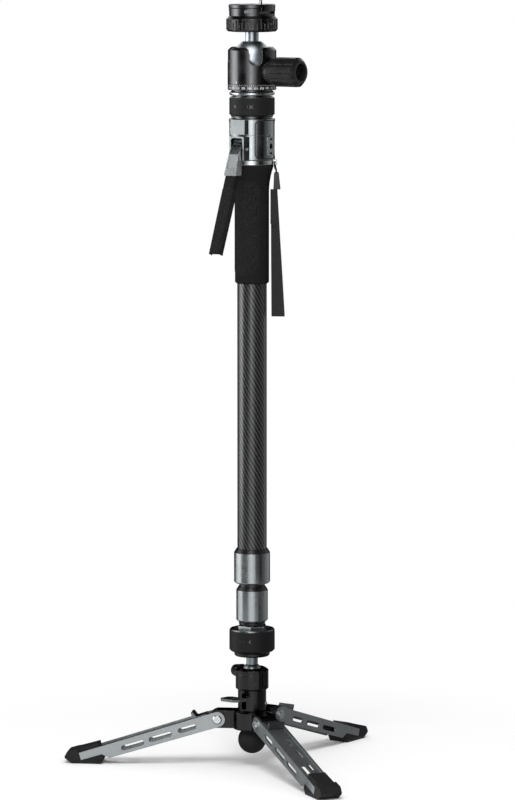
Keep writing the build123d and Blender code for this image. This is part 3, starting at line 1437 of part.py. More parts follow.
screw_top_wall = camera_screw_travel + camera_head_height + 2 * camera_screw_lift
with BuildPart() as camera_plate:
    with BuildSketch(Plane.XY.offset(plate_rim_bottom)):
        Circle(plate_radius)
    extrude(amount=plate_rim_height)
    chamfer(camera_plate.edges().group_by(Axis.Z)[-1], length=plate_edge)
    with BuildSketch(Plane.YZ):
        for way in (1, -1):
            with Locations((way * (dovetail_neck_half_width + plate_radius / 2),
                            plate_wing_bottom - plate_rim_height / 2)):
                Rectangle(plate_radius, plate_rim_height)
    extrude(amount=plate_radius + overrun, both=True, mode=Mode.SUBTRACT)
    with BuildSketch(Plane.YZ):
        with BuildLine():
            Polyline(
                (-dovetail_foot_half_width, dovetail_bottom), (dovetail_foot_half_width, dovetail_bottom),
                (dovetail_foot_half_width, dovetail_bottom + dovetail_foot_height),
                (dovetail_neck_half_width, plate_rim_bottom), (-dovetail_neck_half_width, plate_rim_bottom),
                (-dovetail_foot_half_width, dovetail_bottom + dovetail_foot_height), close=True,
            )
        make_face()
    extrude(amount=dovetail_half_length, both=True)
    # The camera screw's counterbore and the twist pin's
    ring(camera_head_radius + running_gap, 0, dovetail_bottom - overrun, dovetail_bottom + screw_top_wall,
         mode=Mode.SUBTRACT)
    ring(camera_hole_radius, 0, dovetail_bottom, plate_top + overrun, mode=Mode.SUBTRACT)
    with BuildSketch(Plane.XY.offset(dovetail_bottom)):
        with Locations((twist_pin_offset, 0)):
            Circle(twist_collar_radius + part_gap)
    extrude(amount=screw_top_wall, mode=Mode.SUBTRACT)
    with BuildSketch(Plane.XY.offset(dovetail_bottom)):
        with Locations((twist_pin_offset, 0)):
            Circle(twist_pin_radius + running_gap)
    extrude(amount=plate_top, mode=Mode.SUBTRACT)

screw_bottom = dovetail_bottom + camera_screw_lift
with BuildPart() as camera_screw:
    ring(camera_head_radius, 0, screw_bottom, screw_bottom + camera_head_height)
    ring(camera_neck_radius, 0, screw_bottom, plate_top - camera_screw_lift - camera_thread_radius)
    edged_ring(camera_thread_radius, 0, screw_bottom + camera_head_height + camera_neck_height,
               plate_top - camera_screw_lift, edge_break)
    with BuildSketch(Plane.XY.offset(screw_bottom)):
        Rectangle(2 * camera_head_radius + overrun, camera_slot_width)
    extrude(amount=camera_slot_depth, mode=Mode.SUBTRACT)

collar_top = dovetail_bottom + screw_top_wall - running_gap
with BuildPart() as twist_pin:
    with BuildSketch(Plane.XY.offset(collar_top - twist_collar_height)):
        with Locations((twist_pin_offset, 0)):
            Circle(twist_collar_radius)
    extrude(amount=twist_collar_height)
    with BuildSketch(Plane.XY.offset(collar_top - twist_collar_height)):
        with Locations((twist_pin_offset, 0)):
            Circle(twist_pin_radius)
    extrude(amount=plate_top + twist_pin_rise - collar_top + twist_collar_height)
    chamfer(twist_pin.edges().group_by(Axis.Z)[-1], length=twist_pin_bevel)

pieces = {
    "camera_plate": camera_plate, "camera_screw": camera_screw, "twist_pin": twist_pin,
    "clamp_base": clamp_base, "clamp_jaw": clamp_jaw, "clamp_ring": clamp_ring, "clamp_latch": clamp_latch,
    "ball_stem": ball_stem, "head_housing": head_housing, "brake_shoe": brake_shoe, "lock_knob": lock_knob,
    "scale_ring": scale_ring, "head_disc": head_disc, "head_socket": head_socket, "head_lock_ring": head_lock_ring,
    "housing_upper": housing_upper, "housing_lower": housing_lower, "accessory_plate": accessory_plate,
    "lever_bracket": lever_bracket, "lever_grip": lever_grip, "lever_pin": lever_pin, "release_rod": release_rod,
    "strap_ring": strap_ring, "strap_cord": strap_cord, "strap_buckle": strap_buckle,
    "strap_webbing": strap_webbing, "grip_sleeve": grip_sleeve, "upper_tube": upper_tube,
    "upper_collar": upper_collar, "upper_collar_cap": upper_collar_cap, "middle_tube": middle_tube,
    "middle_plug": middle_plug, "lower_collar": lower_collar, "lower_collar_caps": lower_collar_caps,
    "lower_tube": lower_tube, "lower_plug": lower_plug, "column_foot": column_foot, "foot_ring": foot_ring,
    "pan_flange": pan_flange, "base_ball_stem": base_ball_stem, "ball_seat": ball_seat, "base_head": base_head,
    "clamp_knob": clamp_knob, "base_column": base_column, "brake_plunger": brake_plunger, "pedal": pedal,
    "pedal_pin": pedal_pin, "hub": hub, "ball_foot": ball_foot, "leg_bolts": leg_bolts,
}
solids = {name: piece.part for name, piece in pieces.items()}
for letter, azimuth in leg_azimuths.items():
    solids[f"leg_channel_{letter}"] = leg_channel.part.rotate(Axis.Z, azimuth)
    solids[f"leg_boot_{letter}"] = leg_boot.part.rotate(Axis.Z, azimuth)
    solids[f"leg_lock_{letter}"] = leg_lock.part.rotate(Axis.Z, azimuth)

os.makedirs("parts", exist_ok=True)
for name, solid in solids.items():
    solid.label = name
    export_step(solid, f"parts/{name}.step")
print(len(solids), "pieces, leg slope", round(leg_slope, 2), "degrees")
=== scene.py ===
"""Dresses the camera monopod: the finish of every piece, its marks, its pads and its wrist strap.

Metres, +Z up, in the frame that the CAD part was packed in. The release lever faces -Y and the
lock knob +X. A direction round the column is an azimuth, turned from +X towards +Y.
"""
import json
import logging
from dataclasses import dataclass, field, replace
from enum import Enum
from math import cos, pi, radians, sin
from typing import Callable, ClassVar, Optional

import bpy
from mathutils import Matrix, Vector

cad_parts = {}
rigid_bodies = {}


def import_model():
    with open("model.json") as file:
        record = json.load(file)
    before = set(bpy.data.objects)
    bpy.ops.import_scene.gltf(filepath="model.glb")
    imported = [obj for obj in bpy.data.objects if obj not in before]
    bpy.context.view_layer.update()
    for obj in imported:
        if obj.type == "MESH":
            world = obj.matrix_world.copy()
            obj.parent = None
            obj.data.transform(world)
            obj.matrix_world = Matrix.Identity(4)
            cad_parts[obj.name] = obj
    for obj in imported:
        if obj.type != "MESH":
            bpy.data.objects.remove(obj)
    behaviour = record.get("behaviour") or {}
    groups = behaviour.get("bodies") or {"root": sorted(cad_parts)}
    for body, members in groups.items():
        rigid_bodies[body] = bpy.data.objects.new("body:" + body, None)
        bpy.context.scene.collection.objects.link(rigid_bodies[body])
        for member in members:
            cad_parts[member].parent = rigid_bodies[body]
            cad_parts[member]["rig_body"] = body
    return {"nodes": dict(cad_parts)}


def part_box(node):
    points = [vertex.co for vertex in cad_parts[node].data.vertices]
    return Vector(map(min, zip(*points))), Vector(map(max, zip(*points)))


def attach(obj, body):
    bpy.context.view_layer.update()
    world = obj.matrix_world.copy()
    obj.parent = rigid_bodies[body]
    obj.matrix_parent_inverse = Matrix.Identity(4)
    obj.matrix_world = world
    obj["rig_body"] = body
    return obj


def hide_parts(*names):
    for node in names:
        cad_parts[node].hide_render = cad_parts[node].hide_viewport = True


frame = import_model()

log = logging.getLogger("monopod")

Colour = tuple[float, float, float]

MM = 0.001
PHOTO_WIDTH = 515
PHOTO_HEIGHT = 800
WHITE = (1.0, 1.0, 1.0, 1.0)
FLAT_SHADE_ANGLE = radians(32)  # a sharper edge stays sharp when its piece is shaded smoothly
RIM_ANGLE = radians(60)  # a sharper edge is the rim of a pad or a band
DOUBLED = 0.001 * MM  # points closer together than this are merged
HAIR = 1e-6  # keeps a whole number from being rounded down to the one below
SKIN = 0.04 * MM  # how far a mark stands proud of the face it is printed on
PRINT_EDGE = 0.3 * SKIN  # the bevel along a mark's edge
ROUND_SIDES = 24  # how many sides a small round mark or floor has
EDGE_START = 0.97  # the cosine between a face and its rounded normal where an edge starts to show
EDGE_FULL = 0.86  # the cosine where it shows fully
ARROW_LEANS = (48.0, 132.0)  # how far an arrowhead's two lines are turned, in degrees


def body_of(node: str) -> str:
    """Gives the name of the body that carries a CAD node."""
    return frame["nodes"][node]["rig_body"]


def wall_radius(node: str) -> float:
    """Gives the radius of a round CAD node that stands on the column's axis."""
    low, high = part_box(node)
    return (high.x - low.x) / 2


def middle_of(node: str) -> Vector:
    """Gives the middle of a CAD node's box."""
    low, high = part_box(node)
    return (low + high) / 2


def fall(radius: float, across: float) -> float:
    """Gives how far a circle has fallen away from its tangent at a distance across."""
    return radius - (radius ** 2 - across ** 2) ** 0.5


def around(radius: float, turn: float, height: float) -> Vector:
    """Gives the point at a radius, an azimuth in radians and a height."""
    return Vector((radius * cos(turn), radius * sin(turn), height))


def grey(level: float) -> Colour:
    """Gives the grey of a linear level."""
    return (level, level, level)


def opaque(colour: Colour) -> tuple[float, float, float, float]:
    """Adds a full alpha to a colour."""
    return (*colour, 1.0)


def deselect() -> None:
    """Clears the selection, in object mode."""
    if bpy.context.object and bpy.context.object.mode != "OBJECT":
        bpy.ops.object.mode_set(mode="OBJECT")
    bpy.ops.object.select_all(action="DESELECT")


def choose(piece: bpy.types.Object) -> None:
    """Makes one piece the only selected one, and the active one.

    Args:
        piece: The object to select.
    """
    deselect()
    piece.select_set(True)
    bpy.context.view_layer.objects.active = piece


def edit_all(piece: bpy.types.Object) -> None:
    """Enters edit mode on a piece, with all of it selected.

    Args:
        piece: The object to edit.
    """
    choose(piece)
    bpy.ops.object.mode_set(mode="EDIT")
    bpy.ops.mesh.select_all(action="SELECT")


def settle(piece: bpy.types.Object) -> bpy.types.Object:
    """Applies a piece's place, turn and size to its mesh, so that its object sits at the origin.

    Args:
        piece: The object to settle.

    Returns:
        The same object.
    """
    choose(piece)
    bpy.ops.object.transform_apply(location=True, rotation=True, scale=True)
    return piece


def modify(piece: bpy.types.Object, kind: str, **settings: object) -> None:
    """Adds a modifier to a piece and applies it.

    Args:
        piece: The object that is shaped.
        kind: Blender's name for the modifier.
        **settings: The modifier's properties.
    """
    choose(piece)
    modifier = piece.modifiers.new(kind.title(), kind)
    for name, value in settings.items():
        setattr(modifier, name, value)
    bpy.ops.object.modifier_apply(modifier=modifier.name)


def join(pieces: list[bpy.types.Object], name: str) -> bpy.types.Object:
    """Joins pieces into one object.

    Args:
        pieces: The objects, of which the first stays.
        name: The joined object's name.

    Returns:
        The joined object.
    """
    deselect()
    for piece in pieces:
        piece.select_set(True)
    bpy.context.view_layer.objects.active = pieces[0]
    if len(pieces) > 1:
        bpy.ops.object.join()
    pieces[0].name = name
    pieces[0].data.name = name
    return pieces[0]


def smooth(piece: bpy.types.Object) -> bpy.types.Object:
    """Shades a piece smoothly, but for its sharp edges.

    Args:
        piece: The object to shade.

    Returns:
        The same object.
    """
    choose(piece)
    bpy.ops.object.shade_smooth_by_angle(angle=FLAT_SHADE_ANGLE)
    return piece


def face_out(piece: bpy.types.Object) -> None:
    """Merges a piece's doubled points and turns its faces outwards.

    Args:
        piece: The object to mend.
    """
    edit_all(piece)
    bpy.ops.mesh.remove_doubles(threshold=DOUBLED)
    bpy.ops.mesh.normals_make_consistent(inside=False)
    bpy.ops.object.mode_set(mode="OBJECT")


def thicken(piece: bpy.types.Object, thickness: float, offset: float, rim: float = 0.0) -> None:
    """Gives a thin sheet its thickness, and rounds its rim.

    Args:
        piece: The sheet.
        thickness: Its thickness.
        offset: 1 to thicken it outwards, 0 for both ways.
        rim: How wide its rounded rim is, or 0 for a sharp one.
    """
    modify(piece, "SOLIDIFY", thickness=thickness, offset=offset)
    face_out(piece)
    if rim:
        modify(
            piece, "BEVEL", width=rim, segments=2, limit_method="ANGLE", angle_limit=RIM_ANGLE
        )


def wrap(
    piece: bpy.types.Object, radius: float, azimuth: float, height: float
) -> bpy.types.Object:
    """Bends a flat piece round the column.

    Args:
        piece: The object, drawn in the XY plane with its face towards +Z. Its x becomes the arc,
            its y the height and its z the depth of its skin.
        radius: The radius of the wall that it lies on.
        azimuth: The direction of its x = 0, in degrees.
        height: The height of its y = 0.

    Returns:
        The same object.
    """
    piece.location.y = height
    settle(piece)
    for point in piece.data.vertices:
        turn = radians(azimuth) + point.co.x / radius
        point.co = around(radius + point.co.z, turn, point.co.y)
    piece.data.update()
    return piece


def laid(
    columns: int, rows: int, place: Callable[[float, float], Vector], name: str
) -> bpy.types.Object:
    """Lays a flat grid over a surface.

    Args:
        columns: How many faces it has across.
        rows: How many faces it has along.
        place: Gives the point in space for the place across and along, each from 0 to 1.
        name: The grid's name.

    Returns:
        The grid, with its corners at the places given.
    """
    deselect()
    bpy.ops.mesh.primitive_grid_add(x_subdivisions=columns, y_subdivisions=rows, size=1)
    sheet = bpy.context.object
    for point in sheet.data.vertices:
        point.co = place(point.co.x + 0.5, point.co.y + 0.5)
    sheet.data.update()
    return join([sheet], name)


def measure_uv(piece: bpy.types.Object, width: float, length: float) -> None:
    """Gives a laid grid a UV map in metres.

    Args:
        piece: The grid.
        width: Its width.
        length: Its length.
    """
    for corner in piece.data.uv_layers[0].data:
        corner.uv = (corner.uv.x * width, corner.uv.y * length)


class Graph:
    """The node tree of a material or a world, with short calls for the nodes that are shared."""

    def __init__(self, owner: bpy.types.ID) -> None:
        """Opens a node tree.

        Args:
            owner: The material or the world that it belongs to.
        """
        owner.use_nodes = True
        self.owner = owner
        self.tree = owner.node_tree

    def add(self, kind: str, **settings: object) -> bpy.types.Node:
        """Adds a node and sets its properties.

        Args:
            kind: Blender's name for the node.
            **settings: The node's properties.

        Returns:
            The node.
        """
        node = self.tree.nodes.new(kind)
        for name, value in settings.items():
            setattr(node, name, value)
        return node

    def feed(self, socket: bpy.types.NodeSocket, value: object) -> None:
        """Links a socket to another one, or sets it to a plain value.

        Args:
            socket: The socket that is fed.
            value: The other socket, or the value.
        """
        if isinstance(value, bpy.types.NodeSocket):
            self.tree.links.new(value, socket)
        else:
            socket.default_value = value

    def fill(self, node: bpy.types.Node, **values: object) -> bpy.types.Node:
        """Feeds a node's sockets.

        Args:
            node: The node.
            **values: What each socket gets, by its name with underscores for spaces.

        Returns:
            The same node.
        """
        for name, value in values.items():
            self.feed(node.inputs[name.replace("_", " ")], value)
        return node

    def set(self, **values: object) -> None:
        """Feeds the surface shader's sockets, named with underscores for spaces."""
        self.fill(self.tree.nodes["Principled BSDF"], **values)

    def place(self) -> bpy.types.NodeSocket:
        """Gives the point on the object, in metres."""
        return self.add("ShaderNodeTexCoord").outputs["Object"]

    def axes(self, vector: object) -> bpy.types.NodeOutputs:
        """Gives a point's X, Y and Z."""
        return self.fill(self.add("ShaderNodeSeparateXYZ"), Vector=vector).outputs

    def mapped(self, scale: tuple[float, float, float], turn: float = 0.0) -> bpy.types.NodeSocket:
        """Gives the point on the object, turned about Z and scaled by axis."""
        node = self.fill(
            self.add("ShaderNodeMapping"),
            Vector=self.place(), Scale=scale, Rotation=(0.0, 0.0, turn),
        )
        return node.outputs["Vector"]

    def math(self, action: str, first: object, second: object = 0.0) -> bpy.types.NodeSocket:
        """Works out a number from one or two others.

        Args:
            action: Blender's name for the sum.
            first: The first number.
            second: The second number, where the sum has one.

        Returns:
            The number.
        """
        node = self.add("ShaderNodeMath", operation=action)
        for socket, value in zip(node.inputs, (first, second)):
            self.feed(socket, value)
        return node.outputs["Value"]

    def wave(self, value: object, rate: float) -> bpy.types.NodeSocket:
        """Gives the sine of a number times a rate."""
        return self.math("SINE", self.math("MULTIPLY", value, rate))

    def noise(self, vector: object, scale: float, detail: float = 2.0) -> bpy.types.NodeSocket:
        """Gives a soft random pattern from 0 to 1."""
        node = self.fill(
            self.add("ShaderNodeTexNoise"), Vector=vector, Scale=scale, Detail=detail
        )
        return node.outputs["Fac"]

    def cells(self, vector: object, scale: float) -> bpy.types.NodeSocket:
        """Gives the distance to the nearest of many scattered points."""
        node = self.fill(self.add("ShaderNodeTexVoronoi"), Vector=vector, Scale=scale)
        return node.outputs["Distance"]

    def span(
        self, value: object, low: float, high: float, to_low: float = 0.0, to_high: float = 1.0
    ) -> bpy.types.NodeSocket:
        """Maps a number from one range to another, softly and clamped."""
        node = self.fill(
            self.add("ShaderNodeMapRange", interpolation_type="SMOOTHSTEP"),
            Value=value, From_Min=low, From_Max=high, To_Min=to_low, To_Max=to_high,
        )
        return node.outputs["Result"]

    def mix(self, share: object, first: object, second: object) -> bpy.types.NodeSocket:
        """Mixes two colours.

        Args:
            share: How much there is of the second one, from 0 to 1.
            first: The first colour.
            second: The second colour.

        Returns:
            The mixed colour.
        """
        node = self.add("ShaderNodeMix", data_type="RGBA")
        for index, value in ((0, share), (6, first), (7, second)):
            self.feed(node.inputs[index], value)
        return node.outputs[2]

    def bump(
        self, height: object, depth: float, normal: Optional[object] = None
    ) -> bpy.types.NodeSocket:
        """Raises the surface.

        Args:
            height: How high it is raised, from 0 to 1.
            depth: How high 1 is, in metres.
            normal: The surface's normal, where it isn't the plain one.

        Returns:
            The raised surface's normal.
        """
        node = self.fill(self.add("ShaderNodeBump"), Height=height, Distance=depth)
        if normal is not None:
            self.feed(node.inputs["Normal"], normal)
        return node.outputs["Normal"]

    def rounded(self, radius: float) -> bpy.types.NodeSocket:
        """Gives the normal of the surface with its edges rounded."""
        node = self.fill(self.add("ShaderNodeBevel", samples=8), Radius=radius)
        return node.outputs["Normal"]

    def edge(self, radius: float) -> bpy.types.NodeSocket:
        """Finds the edges of a piece.

        Args:
            radius: How far from its edges they reach, in metres.

        Returns:
            1 along the edges and 0 away from them.
        """
        facing = self.add("ShaderNodeVectorMath", operation="DOT_PRODUCT")
        self.feed(facing.inputs[0], self.rounded(radius))
        self.feed(facing.inputs[1], self.add("ShaderNodeNewGeometry").outputs["Normal"])
        return self.span(facing.outputs["Value"], EDGE_START, EDGE_FULL)

    def seen(self) -> bpy.types.NodeSocket:
        """Tells what looks at the surface.

        Returns:
            1 for the camera, a reflection or glass, and 0 for the rest.
        """
        path = self.add("ShaderNodeLightPath").outputs
        shown = self.math("MAXIMUM", path["Is Camera Ray"], path["Is Glossy Ray"])
        return self.math("MAXIMUM", shown, path["Is Transmission Ray"])


@dataclass(frozen=True)
class Finish:
    """How a surface looks: its colour, gloss and grain.

    Attributes:
        name: The material's name.
        colour: The main colour, linear.
        shade: The colour that it varies towards.
        rough: The mean roughness.
        metal: 1 for bare or anodised metal, 0 for the rest.
        patches: How many of its soft patches lie in a metre.
        rounding: The radius that its sharp edges are shown with, in metres.
        relief: How deep its grain is, in metres.
    """

    name: str
    colour: Colour
    shade: Colour
    rough: float
    metal: float = 0.0
    patches: float = 45.0
    rounding: float = 0.3 * MM
    relief: float = 0.01 * MM

    def material(self) -> bpy.types.Material:
        """Makes the material.

        Returns:
            The material, with its nodes.
        """
        graph = Graph(bpy.data.materials.new(self.name))
        self.paint(graph)
        return graph.owner

    def paint(self, graph: Graph) -> None:
        """Builds the material's nodes.

        Args:
            graph: The material's graph.
        """
        raise NotImplementedError

    def tint(self, graph: Graph, share: object) -> bpy.types.NodeSocket:
        """Mixes the colour with its shade by a share from 0 to 1."""
        return graph.mix(share, opaque(self.colour), opaque(self.shade))

    def gloss(
        self, graph: Graph, pattern: object, at_low: float, at_high: float,
        low: float = 0.3, high: float = 0.7,
    ) -> bpy.types.NodeSocket:
        """Varies the roughness with a pattern.

        Args:
            graph: The material's graph.
            pattern: The pattern that it follows.
            at_low: What the mean roughness gains where the pattern is low.
            at_high: What it gains where the pattern is high.
            low: Where the pattern counts as low.
            high: Where it counts as high.

        Returns:
            The roughness.
        """
        return graph.span(pattern, low, high, self.rough + at_low, self.rough + at_high)


@dataclass(frozen=True)
class Anodised(Finish):
    """Bead-blasted and anodised aluminium, worn to a paler line along its edges.

    Attributes:
        grain: The size of the blasted pits, in metres.
        worn: The colour along the edges.
        wear: How strongly the edges show it.
        worn_width: How wide the worn line is, in metres.
        scuffs: How many breaks of the worn line lie in a metre.
    """

    metal: float = 1.0
    relief: float = 0.0015 * MM
    grain: float = 0.25 * MM
    worn: Colour = (0.42, 0.44, 0.45)
    wear: float = 0.35
    worn_width: float = 0.45 * MM
    scuffs: float = 260.0

    def paint(self, graph: Graph) -> None:
        """Builds the material's nodes.

        Args:
            graph: The material's graph.
        """
        place = graph.place()
        patches = graph.noise(place, self.patches, 3.0)
        pits = graph.noise(place, 1.0 / self.grain)
        rubbed = graph.span(graph.noise(place, self.scuffs, 4.0), 0.35, 0.7, 0.2, 2 * self.wear)
        edge = graph.math("MULTIPLY", graph.edge(self.worn_width), rubbed)
        graph.set(
            Base_Color=graph.mix(edge, self.tint(graph, patches), opaque(self.worn)),
            Metallic=self.metal,
            Roughness=self.gloss(graph, patches, -0.04, 0.05),
            Normal=graph.bump(pits, self.relief, graph.rounded(self.rounding)),
        )


@dataclass(frozen=True)
class Brushed(Finish):
    """Metal brushed along one way, with fine scratches.

    Attributes:
        turn: How far the scratches are turned from X about Z, in radians.
        line: The width of a scratch, in metres.
        stretch: How many times longer than wide a scratch is.
    """

    patches: float = 60.0
    rounding: float = 0.25 * MM
    turn: float = 0.0
    line: float = 0.16 * MM
    stretch: float = 60.0

    def paint(self, graph: Graph) -> None:
        """Builds the material's nodes.

        Args:
            graph: The material's graph.
        """
        fine = 1.0 / self.line
        scale = (fine / self.stretch, fine, fine)
        lines = graph.noise(graph.mapped(scale, self.turn), 1.0, 3.0)
        patches = graph.noise(graph.place(), self.patches)
        uneven = graph.math("ADD", lines, patches)
        graph.set(
            Base_Color=self.tint(graph, graph.span(lines, 0.3, 0.7)),
            Metallic=self.metal,
            Roughness=self.gloss(graph, uneven, -0.06, 0.07, 0.7, 1.3),
            Normal=graph.bump(lines, self.relief, graph.rounded(self.rounding)),
        )


@dataclass(frozen=True)
class Turned(Finish):
    """Bright metal from the lathe, with hair-fine rings round one axis.

    Attributes:
        pitch: The width of a ring, in metres.
        stretch: How many times longer than wide a streak of a ring is.
    """

    metal: float = 1.0
    patches: float = 90.0
    relief: float = 0.004 * MM
    pitch: float = 0.18 * MM
    stretch: float = 50.0

    def paint(self, graph: Graph) -> None:
        """Builds the material's nodes.

        Args:
            graph: The material's graph.
        """
        fine = 1.0 / self.pitch
        streak = fine / self.stretch
        rings = graph.noise(graph.mapped((streak, streak, fine)), 1.0)
        patches = graph.noise(graph.place(), self.patches)
        graph.set(
            Base_Color=self.tint(graph, patches),
            Metallic=self.metal,
            Roughness=self.gloss(graph, patches, -0.03, 0.05),
            Normal=graph.bump(rings, self.relief, graph.rounded(self.rounding)),
        )


@dataclass(frozen=True)
class Rubber(Finish):
    """Moulded rubber or plastic, with a fine pebbled skin and a slightly uneven colour.

    Attributes:
        grain: The size of a pebble, in metres.
        shine: How strongly it mirrors, where 0.5 is hard plastic.
    """

    patches: float = 55.0
    rounding: float = 0.5 * MM
    relief: float = 0.03 * MM
    grain: float = 0.35 * MM
    shine: float = 0.18

    def paint(self, graph: Graph) -> None:
        """Builds the material's nodes.

        Args:
            graph: The material's graph.
        """
        place = graph.place()
        pebbles = graph.cells(place, 1.0 / self.grain)
        patches = graph.noise(place, self.patches, 4.0)
        graph.set(
            Base_Color=self.tint(graph, patches),
            Metallic=self.metal,
            Roughness=self.gloss(graph, patches, -0.06, 0.06),
            Specular_IOR_Level=self.shine,
            Normal=graph.bump(pebbles, self.relief, graph.rounded(self.rounding)),
        )


@dataclass(frozen=True)
class Banded(Rubber):
    """Rubber moulded round a metal ring, whose chamfered rims show above and below it.

    Attributes:
        ring: The ring's CAD node.
        foot_rim: How high the lower rim is.
        top_rim: How high the upper rim is.
        rim: The rims' colour.
        rim_rough: The rims' roughness.
    """

    rounding: float = 0.3 * MM
    ring: str = ""
    foot_rim: float = 1.05 * MM
    top_rim: float = 1.05 * MM
    rim: Colour = (0.17, 0.18, 0.185)
    rim_rough: float = 0.3

    def paint(self, graph: Graph) -> None:
        """Builds the material's nodes.

        Args:
            graph: The material's graph.
        """
        place = graph.place()
        height = graph.axes(place)["Z"]
        low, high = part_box(self.ring)
        above = graph.math("GREATER_THAN", height, high.z - self.top_rim)
        below = graph.math("LESS_THAN", height, low.z + self.foot_rim)
        bare = graph.math("MAXIMUM", above, below)
        covered = graph.math("SUBTRACT", 1.0, bare)
        skin = self.tint(graph, graph.noise(place, self.patches, 4.0))
        pebbles = graph.math("MULTIPLY", graph.cells(place, 1.0 / self.grain), covered)
        graph.set(
            Base_Color=graph.mix(bare, skin, opaque(self.rim)),
            Metallic=bare,
            Roughness=graph.span(bare, 0.0, 1.0, self.rough, self.rim_rough),
            Specular_IOR_Level=self.shine,
            Normal=graph.bump(pebbles, self.relief, graph.rounded(self.rounding)),
        )


@dataclass(frozen=True)
class Grit(Finish):
    """A non-slip pad, of coarse speckled grains.

    Attributes:
        grain: The size of a grain, in metres.
        hollow: How much darker it is between the grains, as painted shade in the hollows.
    """

    relief: float = 0.12 * MM
    grain: float = 0.9 * MM
    hollow: float = 0.25

    def paint(self, graph: Graph) -> None:
        """Builds the material's nodes.

        Args:
            graph: The material's graph.
        """
        place = graph.place()
        grains = graph.cells(place, 1.0 / self.grain)
        specks = graph.noise(place, 0.9 / self.grain, 4.0)
        # The specks are the grains' own colour; the darkening between the grains is painted shade
        sunk = graph.math("MULTIPLY", grains, self.hollow)
        lit = graph.span(graph.math("SUBTRACT", specks, sunk), 0.28, 0.52)
        graph.set(
            Base_Color=self.tint(graph, lit),
            Roughness=self.gloss(graph, specks, -0.08, 0.05),
            Specular_IOR_Level=0.15,
            Normal=graph.bump(grains, self.relief),
        )


@dataclass(frozen=True)
class Twill(Finish):
    """Two-by-two carbon twill under clear lacquer, laid round a tube.

    Attributes:
        threads: How many threads go round the tube.
        thread: The height of a thread, in metres.
        fibres: How fine the fibres are, by axis, to the metre.
    """

    relief: float = 0.05 * MM
    threads: int = 96
    thread: float = 1.78 * MM
    fibres: tuple[float, float, float] = (4200.0, 4200.0, 900.0)

    def paint(self, graph: Graph) -> None:
        """Builds the material's nodes.

        Args:
            graph: The material's graph.
        """
        point = graph.axes(graph.place())
        turn = graph.math("ARCTAN2", point["Y"], point["X"])
        across = graph.math("MULTIPLY", turn, self.threads / (2 * pi))
        up = graph.math("MULTIPLY", point["Z"], 1.0 / self.thread)
        step = graph.math("ADD", graph.math("FLOOR", across), graph.math("FLOOR", up))
        over = graph.math("LESS_THAN", graph.math("FLOORED_MODULO", step, 4.0), 1.5)
        under = graph.math("SUBTRACT", 1.0, over)
        # Each thread is round across its own width
        warp, weft = (graph.wave(graph.math("FRACT", value), pi) for value in (across, up))
        height = graph.math(
            "ADD", graph.math("MULTIPLY", warp, over), graph.math("MULTIPLY", weft, under)
        )
        slant = graph.math("MULTIPLY", graph.math("ADD", across, up), pi / 2)
        stripe = graph.span(graph.math("SINE", graph.math("ADD", slant, 0.6)), -0.7, 0.8)
        fibres = graph.noise(graph.mapped(self.fibres), 1.0)
        share = graph.math("MULTIPLY", stripe, graph.span(fibres, 0.25, 0.75, 0.55, 1.0))
        uneven = graph.math("ADD", fibres, over)
        graph.set(
            Base_Color=self.tint(graph, share),
            Metallic=self.metal,
            Roughness=self.gloss(graph, uneven, 0.06, -0.06, 0.3, 1.7),
            Normal=graph.bump(height, self.relief),
            Coat_Weight=0.6,
            Coat_Roughness=0.12,
        )


@dataclass(frozen=True)
class Weave(Finish):
    """Woven nylon: rows of small ribs, each crossed by threads.

    Attributes:
        rib: The pitch of the ribs, in metres.
        fluff: How fine the fluff is, to the metre.
    """

    relief: float = 0.12 * MM
    rib: float = 1.1 * MM
    fluff: float = 900.0

    def paint(self, graph: Graph) -> None:
        """Builds the material's nodes.

        Args:
            graph: The material's graph.
        """
        cloth = graph.axes(graph.add("ShaderNodeUVMap").outputs["UV"])
        ribs = 2 * pi / self.rib
        # Chevrons: the ribs lean one way, then the other
        lean = graph.math("PINGPONG", cloth["X"], 3 * self.rib)
        rows = graph.wave(graph.math("ADD", cloth["Y"], lean), ribs)
        threads = graph.wave(cloth["X"], 2 * ribs)
        height = graph.math(
            "ADD", graph.math("MULTIPLY", rows, 0.35), graph.math("MULTIPLY", threads, 0.15)
        )
        raised = graph.math("ADD", height, 0.5)
        fluff = graph.noise(graph.place(), self.fluff, 3.0)
        # The colour is lighter on the raised ribs and threads and darker in the grooves: painted
        # light and shade, with the fluff's own colour
        graph.set(
            Base_Color=self.tint(graph, graph.math("MULTIPLY", raised, fluff)),
            Roughness=self.gloss(graph, fluff, -0.05, 0.05),
            Specular_IOR_Level=0.15,
            Sheen_Weight=0.15,
            Sheen_Roughness=0.5,
            Normal=graph.bump(raised, self.relief),
        )


@dataclass(frozen=True)
class Braid(Finish):
    """A braided cord, of strands that cross each other on a slant.

    Attributes:
        pitch: The distance between two strands, in metres.
    """

    relief: float = 0.1 * MM
    pitch: float = 0.8 * MM

    def paint(self, graph: Graph) -> None:
        """Builds the material's nodes.

        Args:
            graph: The material's graph.
        """
        point = graph.axes(graph.place())
        flat = graph.math("ADD", point["X"], point["Y"])
        left, right = (graph.math(way, point["Z"], flat) for way in ("ADD", "SUBTRACT"))
        turns = 2 * pi / self.pitch
        strands = graph.math("MAXIMUM", graph.wave(left, turns), graph.wave(right, turns))
        raised = graph.math("MULTIPLY", graph.math("ADD", strands, 1.0), 0.5)
        # The colour is darker in the grooves between the strands: painted shade
        graph.set(
            Base_Color=self.tint(graph, raised),
            Roughness=self.gloss(graph, raised, 0.08, -0.05, 0.0, 1.0),
            Specular_IOR_Level=0.2,
            Normal=graph.bump(raised, self.relief),
        )


